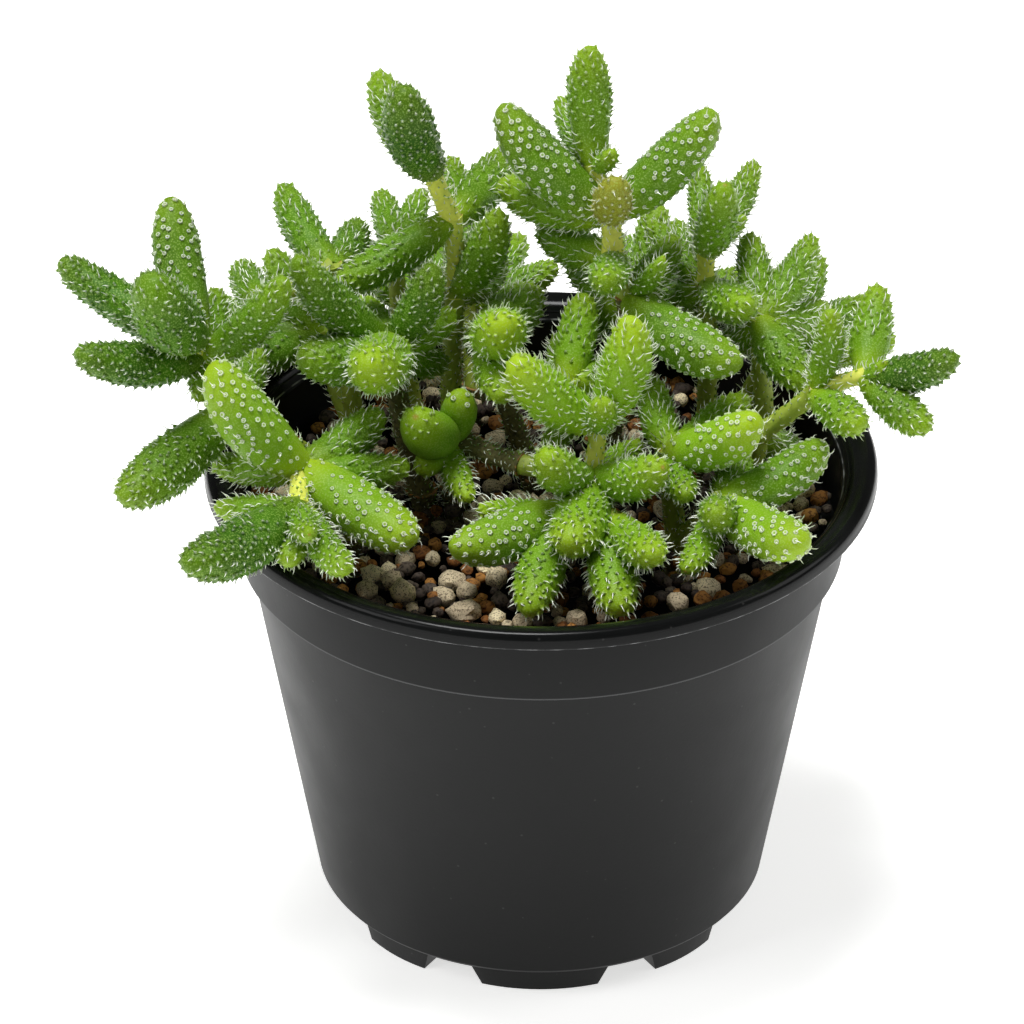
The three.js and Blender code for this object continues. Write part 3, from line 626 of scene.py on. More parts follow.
def leaf_skin(settings):
    """Succulent leaf skin: plump and watery, so a satin green with light in it, strewn with tiny water
    cells whose glints are painted as pale dots. The papillae carry a painted highlight on their rims
    and tips, leaf bases are yellow-green, and the tips are yellow-green, partly as painted light."""
    material, tree = fresh_material("succulent leaf skin")
    place = add(tree, "TexCoord").outputs["Object"]
    shades = add(tree, "Attribute", attribute_name="leaf_shades")
    youth = shades.outputs["Alpha"]
    along, tint, pale = add(tree, "SeparateColor", {"Color": shades}).outputs
    clouds = add(tree, "TexNoise", {"Vector": place, "Scale": per_mm(6), "Detail": 3.0})
    leaning = add(tree, "MapRange", {0: tint, 1: 0.0, 2: 1.0, 3: 0.0, 4: 0.35})
    mixture = add(tree, "Math", {0: clouds, 1: leaning}, operation="ADD")
    depth = add(tree, "MapRange", {0: mixture, 1: 0.4, 2: 0.9})
    # Bases and tips: yellow-green, the more so the younger the leaf is. On the tips this is partly their own
    # colour and partly painted light, as if lit and glowing through
    strength = add(tree, "MapRange", {0: youth, 1: 0.1, 2: 0.9, 3: 0.2, 4: 1.0})
    neck = add(tree, "MapRange", {0: along, 1: 0.02, 2: 0.3, 3: 0.9, 4: 0.0})
    tip = add(tree, "MapRange", {0: along, 1: 0.65, 2: 1.0, 3: 0.0, 4: 0.6})
    # Some tips are dry and brown, and a withered leaf is olive brown down to its base
    withered = add(tree, "MapRange", {0: tint, 1: 1.0, 2: WITHERED, 3: 0.0, 4: 0.8})
    reach = add(tree, "Math", {0: along, 1: withered}, operation="ADD")
    end = add(tree, "MapRange", {0: reach, 1: 0.993, 2: 1.0, 3: 0.0, 4: 0.8})
    brown = add(tree, "MapRange", {0: tint, 1: 0.85, 2: 0.95})
    faded = add(tree, "MapRange", {0: tint, 1: 1.0, 2: WITHERED, 3: 1.0, 4: 0.5})
    dry = add(tree, "Math", {0: brown, 1: faded}, operation="MULTIPLY")
    neck_share, tip_share, dry_share = [
        add(tree, "Math", {0: zone, 1: share}, operation="MULTIPLY")
        for zone, share in ((neck, strength), (tip, strength), (end, dry))
    ]
    # Water cells: about 0.2 mm wide, one in each cell of 0.28 mm. Their pale dots are painted glints
    cells = add(tree, "TexVoronoi", {"Vector": place, "Scale": per_mm(0.28)})
    glint = add(tree, "MapRange", {0: cells, 1: 0.1, 2: 0.55, 3: 0.5, 4: 0.0})
    # Painted highlight on the papillae's rims and tips, in the bristle colour
    ring = add(tree, "MapRange", {0: pale, 1: 0.35, 2: 1.0, 3: 0.0, 4: 0.75})
    colour = layered(tree, settings.deep_green, (
        (depth, settings.leaf_green), (youth, settings.fresh_green), (neck_share, settings.neck_green),
        (tip_share, settings.neck_green), (dry_share, settings.scar), (glint, settings.bloom),
        (ring, settings.bristle),
    ))
    roughness = add(tree, "MapRange", {0: cells, 1: 0.1, 2: 0.6, 3: 0.28, 4: 0.45})
    close_material(tree, {
        "Base Color": colour, "Roughness": roughness, "IOR": 1.42, "Specular IOR Level": 0.2,
        "Subsurface Weight": 0.15, "Subsurface Radius": (0.7, 1.0, 0.15), "Subsurface Scale": 1.2 * MM,
    }, cells, depth=0.05, invert=True)
    return material


def glassy_bristle(settings):
    """A dry plant hair: thin, clear and colourless, which reads as bright white."""
    material, tree = fresh_material("glassy white bristle")
    close_material(tree, {"Base Color": settings.bristle, "Roughness": 0.35, "Subsurface Weight": 0.0})
    return material


def stem_skin(name, old_colour, colour, scar_colour, scar_reach, mottling, flake_size, roughness):
    """Stem skin: smooth and bright when young, flaky and dull when old, with dry tan scars at its nodes."""
    material, tree = fresh_material(name)
    place = add(tree, "TexCoord").outputs["Object"]
    shades = add(tree, "Attribute", attribute_name="leaf_shades")
    node = add(tree, "SeparateColor", {"Color": shades})
    flakes = add(tree, "TexNoise", {"Vector": place, "Scale": per_mm(flake_size), "Detail": 4.0})
    mottle = add(tree, "MapRange", {0: flakes, 1: 0.3, 2: 0.7, 3: 1 - mottling, 4: 1 + mottling / 2})
    aged = layered(tree, old_colour, [(shades.outputs["Alpha"], colour)])
    tone = add(tree, "HueSaturation", {"Value": mottle, "Color": aged})
    edge = add(tree, "Math", {0: node, 1: flakes}, operation="MULTIPLY")
    scarred = add(tree, "MapRange", {0: edge, 1: scar_reach, 2: scar_reach + 0.12})
    close_material(tree, {
        "Base Color": layered(tree, tone, [(scarred, scar_colour)]), "Roughness": roughness,
        "Subsurface Weight": 0.1, "Subsurface Radius": (0.8, 1.0, 0.3), "Subsurface Scale": 0.6 * MM,
    }, flakes, depth=0.15)
    return material


def arrays_of(piece):
    """A modelled piece as arrays of places and triangles, and the piece is removed."""
    if bpy.context.mode != "OBJECT":
        bpy.ops.object.mode_set(mode="OBJECT")
    mesh = piece.data
    mesh.calc_loop_triangles()
    places = np.empty(len(mesh.vertices) * 3)
    mesh.vertices.foreach_get("co", places)
    triangles = np.empty(len(mesh.loop_triangles) * 3, np.int32)
    mesh.loop_triangles.foreach_get("vertices", triangles)
    bpy.data.objects.remove(piece)
    return places.reshape(-1, 3), triangles.reshape(-1, 3)


def piece_from(name, parts, shade_name, materials):
    """Joins parts of (places, triangles, slot, shades) to a new piece. Places are in mm from the pot's
    axis, and the shades become an attribute that the materials read."""
    starts = np.cumsum([0] + [len(part[0]) for part in parts[:-1]])
    places = np.concatenate([part[0] for part in parts])
    triangles = np.concatenate([part[1] + start for part, start in zip(parts, starts)])
    slots = np.concatenate([np.full(len(part[1]), part[2]) for part in parts])
    shades = np.concatenate([part[3] for part in parts])
    mesh = bpy.data.meshes.new(name)
    mesh.vertices.add(len(places))
    mesh.vertices.foreach_set("co", (places * MM + AXIS).astype(np.float32).ravel())
    mesh.loops.add(triangles.size)
    mesh.loops.foreach_set("vertex_index", triangles.astype(np.int32).ravel())
    mesh.polygons.add(len(triangles))
    mesh.polygons.foreach_set("loop_start", np.arange(0, triangles.size, 3, dtype=np.int32))
    for material in materials:
        mesh.materials.append(material)
    mesh.polygons.foreach_set("material_index", slots.astype(np.int32))
    mesh.update(calc_edges=True)
    piece = bpy.data.objects.new(name, mesh)
    bpy.context.scene.collection.objects.link(piece)
    kind, field = ("FLOAT", "value") if shades.shape[1] == 1 else ("FLOAT_COLOR", "color")
    attribute = mesh.attributes.new(shade_name, kind, "POINT")
    attribute.data.foreach_set(field, shades.astype(np.float32).ravel())
    return piece


def fullness(t):
    """The width of a leaf along its length, as a share of its full width."""
    top = (LEAF_BELLY - LEAF_NECK * LEAF_POINT) / (LEAF_BELLY + LEAF_POINT)
    widths = [(s + LEAF_NECK) ** LEAF_BELLY * np.maximum(0, 1 - s) ** LEAF_POINT for s in (t, top)]
    return widths[0] / widths[1]


def leaf_axes(turn, rise):
    """Directions along a leaf, to its side and up out of its flatter face."""
    along = np.stack([np.cos(rise) * np.cos(turn), np.cos(rise) * np.sin(turn), np.sin(rise)], -1)
    side = np.stack([-np.sin(turn), np.cos(turn), 0 * turn], -1)
    return along, side, np.cross(along, side)


def list_leaves():
    """All leaves as arrays: shoot, root, turn, rise, length and width."""
    rows = [
        (number, *shoot["joints"][joint][1:4], math.radians(turn), math.radians(rise), length, width)
        for number, shoot in enumerate(SHOOTS)
        for joint, turn, rise, length, width in shoot["leaves"]
    ]
    table = np.array(rows, float)
    return table[:, 0].astype(int), table[:, 1:4], table[:, 4], table[:, 5], table[:, 6], table[:, 7]


def stem_balls():
    """Points along every stem above the soil, as balls: shoot, centre and radius."""
    owners, centres, radii = [], [], []
    for number, shoot in enumerate(SHOOTS):
        for parent, *place, diameter in shoot["joints"][1:]:
            start = np.array(shoot["joints"][parent][1:4], float)
            end = np.array(place, float)
            steps = math.ceil(np.linalg.norm(end - start) / STEM_STEP)
            for step in range(steps + 1):
                owners.append(number)
                centres.append(start + (end - start) * step / steps)
                radii.append(diameter / 2 + STEM_GAP)
    return np.array(owners), np.array(centres), np.array(radii)


def settle_leaves():
    """Turns leaves that would touch each other, a stem, the soil or the rim about their bases."""
    owner, root, turn, rise, length, width = list_leaves()
    stem_owner, stem_centre, stem_radius = stem_balls()
    step = SETTLE_STEPS
    radius = width[:, None] / 2 * fullness(step)[None] + LEAF_GAP
    reach = step[None] * length[:, None]
    same = (owner[:, None] == owner[None])[:, None, :, None]
    outer = np.arange(len(step)) >= 2
    counted = (~same | outer[None, :, None, None] & outer) & ~np.eye(len(owner), dtype=bool)[:, None, :, None]
    limit = radius[:, :, None, None] + radius[None, None] - np.where(same, 2 * LEAF_GAP + OWN_OVERLAP, 0)
    for _ in range(SETTLE_ROUNDS):
        along, _, up = leaf_axes(turn, rise)
        bow = (4 * LEAF_BOW * length)[:, None] * (step * (1 - step))[None]
        centre = root[:, None] + along[:, None] * reach[..., None] - up[:, None] * bow[..., None]
        way = centre[:, :, None, None] - centre[None, None]
        gap = np.linalg.norm(way, axis=-1)
        depth = np.where(counted, np.maximum(limit - gap, 0), 0)
        weight = depth / 2 / (np.where(gap == 0, 1, gap) * reach[:, :, None, None])
        push = (way * weight[..., None]).sum((1, 2, 3))
        way = centre[:, :, None] - stem_centre[None, None]
        gap = np.linalg.norm(way, axis=-1)
        depth = np.maximum(radius[:, :, None] + stem_radius - gap, 0)
        depth = np.where(owner[:, None, None] != stem_owner[None, None], depth, 0)
        push += (way * (depth / (gap * reach[:, :, None]))[..., None]).sum((1, 2))
        distance = np.hypot(centre[..., 0], centre[..., 1])
        rim = centre * (np.clip(distance, RIM_INNER_RADIUS, RIM_RADIUS) / distance)[..., None]
        rim[..., 2] = POT_HEIGHT
        gap = np.linalg.norm(centre - rim, axis=-1)
        depth = np.maximum(radius + RIM_GAP - gap, 0)
        push += ((centre - rim) * (depth / (gap * reach))[..., None]).sum(1)
        lift = np.maximum(SOIL_TOP + GRAIN_TOP + radius - centre[..., 2], 0)
        push[:, 2] += (np.where(distance < RIM_INNER_RADIUS, lift, 0) / reach).sum(1)
        along = along + SETTLE_SHARE * push
        along /= np.linalg.norm(along, axis=-1, keepdims=True)
        turn = np.arctan2(along[:, 1], along[:, 0])
        rise = np.arcsin(along[:, 2])
    return [
        {"shoot": int(s), "root": r, "turn": a, "rise": e, "length": l, "width": w}
        for s, r, a, e, l, w in zip(owner, root, turn, rise, length, width)
    ]


def leaf_form(leaf, chance):
    """The form of one leaf: a function that carries points of the leaf model to their place in mm."""
    along, side, up = leaf_axes(leaf["turn"], leaf["rise"])
    length = leaf["length"]
    half = leaf["width"] / 2 * BODY_SHARE
    sway = chance.uniform(-0.03, 0.03) * length
    phases = chance.uniform(0, 2 * math.pi, 3)
    swell = chance.uniform(0.015, 0.035)

    def place(local):
        t = local[:, 2]
        around = np.arctan2(local[:, 1], local[:, 0])
        waves = np.sin(2 * around + 5 * t + phases[1]) * np.sin(math.pi * t)
        lumps = 1 + swell * (np.sin(9 * t + phases[0]) + waves)
        across = half * local[:, 0] * lumps + sway * 4 * t * (1 - t)
        raised = half * local[:, 1] * lumps - 4 * LEAF_BOW * length * t * (1 - t)
        return leaf["root"] + np.outer(t * length, along) + np.outer(across, side) + np.outer(raised, up)

    return place


def stem_form(start, end, start_radius, end_radius, chance):
    """The form of one stretch of stem, thicker at its nodes."""
    way = end - start
    long = np.linalg.norm(way)
    along = way / long
    side = np.cross(along, (0.3, 0.9, 0.1))
    side /= np.linalg.norm(side)
    up = np.cross(along, side)
    phases = chance.uniform(0, 2 * math.pi, 2)
    bend = chance.uniform(-0.03, 0.03, 2) * long

    def place(local):
        t = local[:, 2]
        swell = 0.22 * np.exp(-((t * long / 1.1) ** 2)) + 0.3 * np.exp(-(((1 - t) * long / 1.2) ** 2))
        lumps = 1 + 0.05 * np.sin(t * long * 1.7 + phases[0]) + 0.03 * np.sin(4.3 * t * long + phases[1])
        radius = (start_radius + (end_radius - start_radius) * t) * (1 + swell) * lumps
        bow = 4 * t * (1 - t)
        across = radius * local[:, 0] + bend[0] * bow
        raised = radius * local[:, 1] + bend[1] * bow
        return start + np.outer(t, way) + np.outer(across, side) + np.outer(raised, up)

    return place


def model_leaf():
    """The plump leaf, modelled once: a sphere whose rings are drawn in to the leaf's outline, with
    its upper side flattened. Its base is at z = 0 and its tip at z = 1."""
    start_clean()
    bpy.ops.mesh.primitive_uv_sphere_add(segments=LEAF_SIDES, ring_count=LEAF_RINGS, radius=1)
    piece = bpy.context.object
    bpy.ops.object.mode_set(mode="EDIT")
    for ring in range(1, LEAF_RINGS):
        polar = math.pi * ring / LEAF_RINGS
        height = math.cos(polar)
        pick(lambda vertex: abs(vertex.co.z - height) < 1e-4, "VERT")
        factor = float(fullness((1 + height) / 2)) / math.sin(polar)
        bpy.ops.transform.resize(value=(factor, factor, 1), center_override=(0, 0, height))
    pick(lambda vertex: vertex.co.y > 1e-4, "VERT")
    bpy.ops.transform.resize(value=(1, 1 - LEAF_FLAT, 1), center_override=(0, 0, 0))
    bpy.ops.mesh.select_all(action="SELECT")
    bpy.ops.transform.translate(value=(0, 0, 1))
    bpy.ops.transform.resize(value=(1, 1, 0.5), center_override=(0, 0, 0))
    return arrays_of(piece)


def model_stem():
    """A stretch of stem, modelled once: a capped tube from z = 0 to 1, with rings cut into it."""
    start_clean()
    bpy.ops.mesh.primitive_cylinder_add(vertices=STEM_SIDES, radius=1, depth=1, location=(0, 0, 0.5))
    piece = bpy.context.object
    bpy.ops.object.transform_apply(location=True)
    bpy.ops.object.mode_set(mode="EDIT")
    for level in range(1, STEM_LEVELS):
        bpy.ops.mesh.select_all(action="SELECT")
        bpy.ops.mesh.bisect(plane_co=(0, 0, level / STEM_LEVELS), plane_no=(0, 0, 1))
    return arrays_of(piece)


def model_papilla(width, sides, height, top_share):
    """A papilla, modelled once: few-sided, with its foot sunk in, and pointed or with a dip inside
    its rim."""
    start_clean()
    bpy.ops.mesh.primitive_cone_add(
        vertices=sides, radius1=width / 2, radius2=width / 2 * top_share, depth=height + PAPILLA_SINK,
        location=(0, 0, (height - PAPILLA_SINK) / 2),
    )
    piece = bpy.context.object
    bpy.ops.object.transform_apply(location=True)
    if not top_share:
        return arrays_of(piece)
    bpy.ops.object.mode_set(mode="EDIT")
    pick(lambda face: face.normal.z > 0.9)
    bpy.ops.mesh.extrude_region_move(TRANSFORM_OT_translate={"value": (0, 0, -PAPILLA_DIP)})
    bpy.ops.mesh.merge(type="CENTER")
    return arrays_of(piece)


def model_bristle(length, curl):
    """A bristle, modelled once: three-sided, drawn up in steps and curled over to a point."""
    start_clean()
    bpy.ops.mesh.primitive_circle_add(
        vertices=3, radius=BRISTLE_RADIUS, fill_type="NGON", location=(0, 0, BRISTLE_FOOT)
    )
    piece = bpy.context.object
    bpy.ops.object.transform_apply(location=True)
    bpy.ops.object.mode_set(mode="EDIT")
    bpy.ops.mesh.select_all(action="SELECT")
    for step in range(BRISTLE_STEPS):
        lean = curl * (step + 0.5) / BRISTLE_STEPS
        move = (math.sin(lean) * length / BRISTLE_STEPS, 0, math.cos(lean) * length / BRISTLE_STEPS)
        bpy.ops.mesh.extrude_region_move(TRANSFORM_OT_translate={"value": move})
        if step < BRISTLE_STEPS - 1:
            bpy.ops.transform.resize(value=(BRISTLE_TAPER, BRISTLE_TAPER, BRISTLE_TAPER))
    bpy.ops.mesh.merge(type="CENTER")
    bpy.ops.mesh.select_all(action="SELECT")
    bpy.ops.mesh.normals_make_consistent(inside=False)
    return arrays_of(piece)


def outline_points(place, outline, t, around):
    """Points on a form's surface, at shares t of its length and angles around it."""
    width = outline(t)
    flat = 1 - LEAF_FLAT * np.maximum(0, np.sin(around))
    return place(np.stack([width * np.cos(around), width * np.sin(around) * flat, t], -1))


def spots_on(place, outline, gap, low, high, chance):
    """Evenly strewn spots on a form: shares t, angles, places, and directions out of the surface and
    towards its far end."""
    samples = np.linspace(low, high, OUTLINE_SAMPLES)
    right, top, left = [
        outline_points(place, outline, samples, np.full(OUTLINE_SAMPLES, angle))
        for angle in (0, math.pi / 2, math.pi)
    ]
    girth = math.pi * (np.linalg.norm(right - left, axis=1) / 2)
    stretch = np.linalg.norm(np.gradient(top, axis=0), axis=1)
    area = np.concatenate([[0], np.cumsum((2 * girth * stretch)[1:])])
    count = max(6, int(area[-1] / gap**2))
    t = np.interp((np.arange(count) + 0.5) / count * area[-1], area, samples)
    around = np.arange(count) * GOLDEN_ANGLE + chance.normal(0, 0.12, count)
    t = np.clip(t + chance.normal(0, 0.006, count), low, high)
    small = 1e-3
    spot = outline_points(place, outline, t, around)
    onward = outline_points(place, outline, t + small, around) - spot
    beside = outline_points(place, outline, t, around + small) - spot
    outward = np.cross(beside, onward)
    outward /= np.linalg.norm(outward, axis=1, keepdims=True)
    onward /= np.linalg.norm(onward, axis=1, keepdims=True)
    return t, around, spot, outward, onward


def stand_on(model, spot, outward, towards, size):
    """Copies of a model, stood on their spots with its X turned towards a direction, and which spots
    carry one: a copy that would reach out of the solids' box is left out."""
    places, triangles = model
    x = towards - outward * (towards * outward).sum(1, keepdims=True)
    x /= np.linalg.norm(x, axis=1, keepdims=True)
    y = np.cross(outward, x)
    basis = np.stack([x, y, outward], 1) * size[:, None, None]
    copies = np.einsum("mi,nij->nmj", places, basis) + spot[:, None]
    inside = ((copies > BOX_LOW) & (copies < BOX_HIGH)).all((1, 2))
    copies = copies[inside]
    shifted = triangles[None] + (np.arange(len(copies)) * len(places))[:, None, None]
    return copies.reshape(-1, 3), shifted.reshape(-1, 3), inside


def papillae_on(place, outline, models, coat, chance):
    """Papillae with their bristles on a leaf or a stem, as parts to join. Old leaves are barer on the
    upper side near the base, and their bristles are shorter."""
    t, around, spot, outward, onward = spots_on(
        place, outline, coat["gap"], coat["low"], coat["high"], chance
    )
    bare = (np.sin(around) > 0.2) & (t < 0.4) & (chance.random(len(t)) < coat["bareness"])
    t, around, spot, outward, onward = [values[~bare] for values in (t, around, spot, outward, onward)]
    count = len(t)
    sizes = coat["size"] * (0.62 + 0.45 * np.sqrt(t)) * chance.uniform(0.85, 1.15, count)
    tilt = outward + PAPILLA_LEAN * onward
    tilt /= np.linalg.norm(tilt, axis=1, keepdims=True)
    towards = onward + chance.normal(0, 0.5, (count, 3))
    model = models["ringed papilla" if coat["is_broad"] else "papilla"]
    dome, triangles, inside = stand_on(model, spot, tilt, towards, sizes)
    local = model[0]
    # How much painted highlight each point of a papilla gets: none at its foot, full at a ringed rim or a
    # pointed tip, little in a ringed middle
    rim = np.clip(local[:, 2] / local[:, 2].max(), 0, 1)
    if coat["is_broad"]:
        middle = np.hypot(local[:, 0], local[:, 1]) < 1e-3
        rim = np.where(middle, 0.1, rim)
    rim = rim * (RING_OF_BROAD if coat["is_broad"] else RING_OF_OTHERS)
    shades = np.stack([
        np.repeat(t[inside], len(local)), np.full(len(dome), coat["tint"]), np.tile(rim, inside.sum()),
        np.full(len(dome), coat["youth"]),
    ], -1)
    parts = [(dome, triangles, SKIN, shades)]
    clear = CLEAR_OF_BROAD if coat["is_broad"] else CLEAR_OF_OLD * (1 - coat["youth"])
    hairy = (np.abs(np.sin(around)) < EDGE_REACH) | (t > 0.9) | (chance.random(count) > clear)
    last = len(models["bristles"]) - 1
    kind = np.clip(np.round(chance.normal(1 + coat["youth"] * (last - 1), 1.2, count)), 0, last)
    long = chance.uniform(0.9, 1.1, count)
    for number, bristle in enumerate(models["bristles"]):
        mine = hairy & (kind == number)
        hair, triangles, _ = stand_on(bristle, spot[mine], tilt[mine], towards[mine], long[mine])
        parts.append((hair, triangles, BRISTLE, np.ones((len(hair), 4))))
    return [part for part in parts if len(part[0])]


def stem_parts(shoot, models, chance):
    """The stretches of stem of one shoot, with their coat, as parts to join."""
    parts = []
    for joint, (parent, *place, diameter) in enumerate(shoot["joints"]):
        point = np.array(place, float)
        is_root = parent < 0
        is_old = is_root or joint in shoot.get("woody", ())
        if is_root:
            start = np.array([point[0], point[1], SOIL_TOP - ROOT_DEPTH])
            start_radius = diameter / 2
        else:
            start = np.array(shoot["joints"][parent][1:4], float)
            start_radius = shoot["joints"][parent][4] / 2
        end = point + (point - start) / np.linalg.norm(point - start) * NODE_OVERLAP
        form = stem_form(start, end, start_radius, diameter / 2, chance)
        local, triangles = models["stem"]
        t, long = local[:, 2], np.linalg.norm(end - start)
        node = np.maximum(np.exp(-t * long / NODE_REACH), np.exp(-(1 - t) * long / NODE_REACH))
        youth = YELLOW_STEM_YOUTH if joint in shoot.get("yellow", ()) else GREEN_STEM_YOUTH
        if is_old:
            youth = OLD_STEM_YOUTH
        shades = np.stack([node, np.full(len(node), 0.5), 0 * node, np.full(len(node), youth)], -1)
        parts.append((form(local), triangles, OLD_STEM if is_old else YOUNG_STEM, shades))
        coat = {
            "gap": 0.85 if is_old else 1.05, "low": 0.02, "high": 0.98, "tint": 0.5, "youth": youth,
            "size": 0.6, "bareness": 0, "is_broad": False,
        }
        parts += papillae_on(form, np.ones_like, models, coat, chance)
    return parts


def leaf_parts(shoot, leaves, models, papilla_gap, chance):
    """The leaves of one shoot, with their papillae and bristles, as parts to join."""
    parts = []
    for index, leaf in enumerate(leaves):
        tint = chance.random()
        is_fresh, is_old, is_smooth, is_broad, is_dry = [
            index in shoot.get(look, ()) for look in ("fresh", "old", "smooth", "ringed", "dry")
        ]
        is_small = leaf["width"] < SMALL_LEAF
        youth = shoot["youth"] + FRESH_GAIN * is_fresh - OLD_LOSS * is_old
        youth = youth + (MIDDLE_WIDTH - leaf["width"]) * SLIM_GAIN
        youth = float(np.clip(youth + chance.normal(0, 0.06), 0, 1))
        form = leaf_form(leaf, chance)
        local, triangles = models["leaf"]
        count = len(local)
        tints = np.full(count, WITHERED if is_dry else tint)
        shades = np.stack([local[:, 2], tints, np.zeros(count), np.full(count, youth)], -1)
        parts.append((form(local), triangles, SKIN, shades))
        coat = {
            "gap": papilla_gap * (0.8 if is_small else 1.3 if is_broad else 1),
            "low": SMOOTH_UP_TO if is_smooth else 0.06, "high": 0.985,
            "tint": WITHERED if is_dry else min(tint, 0.7), "youth": youth,
            "size": 0.8 if is_small else 1, "bareness": 0.2 if is_small else 0.6, "is_broad": is_broad,
        }
        parts += papillae_on(form, fullness, models, coat, chance)
    return parts


def model_grain(seed, flatness):
    """A stone, modelled once: a small ball pushed about at random and pressed flatter."""
    start_clean()
    bpy.ops.mesh.primitive_ico_sphere_add(subdivisions=2, radius=0.5)
    piece = bpy.context.object
    bpy.ops.object.mode_set(mode="EDIT")
    bpy.ops.mesh.select_all(action="SELECT")
    bpy.ops.transform.vertex_random(offset=STONE_ROUGHNESS, seed=seed)
    bpy.ops.transform.resize(value=(1, STONE_WIDTH, flatness), center_override=(0, 0, 0))
    return arrays_of(piece)


def strew_grains(count, chance):
    """Places of grains on the soil, the largest first: x, y, size and kind."""
    rows = [(x, y, size, PUMICE) for x, y, size in SHOWN_PUMICE]
    roots = [shoot["joints"][0] for shoot in SHOOTS]
    tries = 0
    while len(rows) < count and tries < GRAIN_TRIES:
        tries += 1
        share = len(rows) / count
        _, smallest, largest, near = next(row for row in GRAIN_SIZES if share < row[0])
        size = chance.uniform(smallest, largest)
        radius = (GRAIN_RADIUS - size / 2) * math.sqrt(chance.random())
        angle = chance.uniform(0, 2 * math.pi)
        x, y = radius * math.cos(angle), radius * math.sin(angle)
        if any(math.hypot(x - root[1], y - root[2]) < size / 2 + root[4] / 2 for root in roots):
            continue
        if any(math.hypot(x - row[0], y - row[1]) < near * (size + row[2]) for row in rows):
            continue
        kind = PUMICE
        if share >= GRAIN_SIZES[0][0]:
            kind = SMALLER_KINDS[chance.integers(0, len(SMALLER_KINDS))]
        rows.append((x, y, size, kind))
    return rows


def turned_by(chance, places, lean):
    """Places turned about Z at random and leaned a little."""
    spin, tip = chance.uniform(0, 2 * math.pi), chance.uniform(-lean, lean)
    turn = np.array([[math.cos(spin), -math.sin(spin), 0], [math.sin(spin), math.cos(spin), 0], [0, 0, 1]])
    tilt = np.array([[1, 0, 0], [0, math.cos(tip), -math.sin(tip)], [0, math.sin(tip), math.cos(tip)]])
    return places @ tilt.T @ turn.T


def towards_foot(number):
    """The direction of a foot from the pot's axis. Foot 0, the wide one, is in front."""
    return -math.pi / 2 + 2 * math.pi / FOOT_COUNT * number


def draw_foot(number):
    """Draws one foot down from the pot's base, in edit mode, and tapers it."""
    turn = towards_foot(number)
    half = math.radians(FOOT_ANGLE if number else WIDE_FOOT_ANGLE) / 2

    def is_under_foot(face):
        radius, angle = around_axis(face.calc_center_median())
        off = math.remainder(angle - turn, 2 * math.pi)
        return face.normal.z < -0.9 and FOOT_INNER < radius < FOOT_OUTER and abs(off) < half

    pick(is_under_foot)
    bpy.ops.mesh.extrude_region_move(TRANSFORM_OT_translate={"value": (0, 0, -BASE_HEIGHT * MM)})
    middle = (FOOT_INNER + FOOT_OUTER) / 2 * MM
    centre = (AXIS[0] + middle * math.cos(turn), AXIS[1] + middle * math.sin(turn), 0)
    bpy.ops.transform.resize(value=(FOOT_TAPER, FOOT_TAPER, 1), center_override=centre)


def drill_drain(piece, number):
    """Cuts one drain hole through the pot's floor, behind its foot."""
    turn = towards_foot(number)
    start_clean()
    bpy.ops.mesh.primitive_cylinder_add(
        vertices=DRAIN_SIDES, radius=DRAIN_RADIUS * MM, depth=DRILL_LENGTH * MM,
        location=AXIS + np.array([math.cos(turn) * DRAIN_RING, math.sin(turn) * DRAIN_RING, FLOOR_TOP]) * MM,
    )
    drill = bpy.context.object
    apply_modifier(piece, "BOOLEAN", object=drill, operation="DIFFERENCE", solver="EXACT")
    bpy.data.objects.remove(drill)


class PLANT_OT_pot(bpy.types.Operator):
    """Models the nursery pot: a spun wall with its rolled rim, feet drawn down and drain holes cut."""

    bl_idname = "plant.pot"
    bl_label = "Nursery Pot"

    def execute(self, context):
        settings = context.scene.plant_pot
        piece = spun("nursery_pot", POT_PROFILE, POT_STEPS)
        for number in range(FOOT_COUNT):
            draw_foot(number)
        bpy.ops.object.mode_set(mode="OBJECT")
        for number in range(FOOT_COUNT):
            drill_drain(piece, number)
        apply_modifier(
            piece, "BEVEL", width=settings.edge, segments=2, limit_method="ANGLE", angle_limit=SHARP_ANGLE
        )
        piece.data.materials.clear()
        piece.data.materials.append(moulded_plastic(settings))
        finish_piece(piece, "pot_plastic", "pot")
        return {"FINISHED"}


def soil_body():
    """The soil with its rough top, as arrays in mm from the pot's axis."""
    steps = [SOIL_RADIUS * (1 - ring / TOP_RINGS) for ring in range(1, TOP_RINGS)]
    top = [(radius, GROUND_LEVEL) for radius in steps + [0]]
    body = spun("soil_body", SOIL_PROFILE + top, SOIL_STEPS)
    pick(lambda vertex: vertex.co.z > (SOIL_TOP - 1) * MM, "VERT")
    bpy.ops.transform.vertex_random(offset=GROUND_ROUGHNESS * MM, seed=3)
    places, triangles = arrays_of(body)
    return (places - AXIS) / MM, triangles


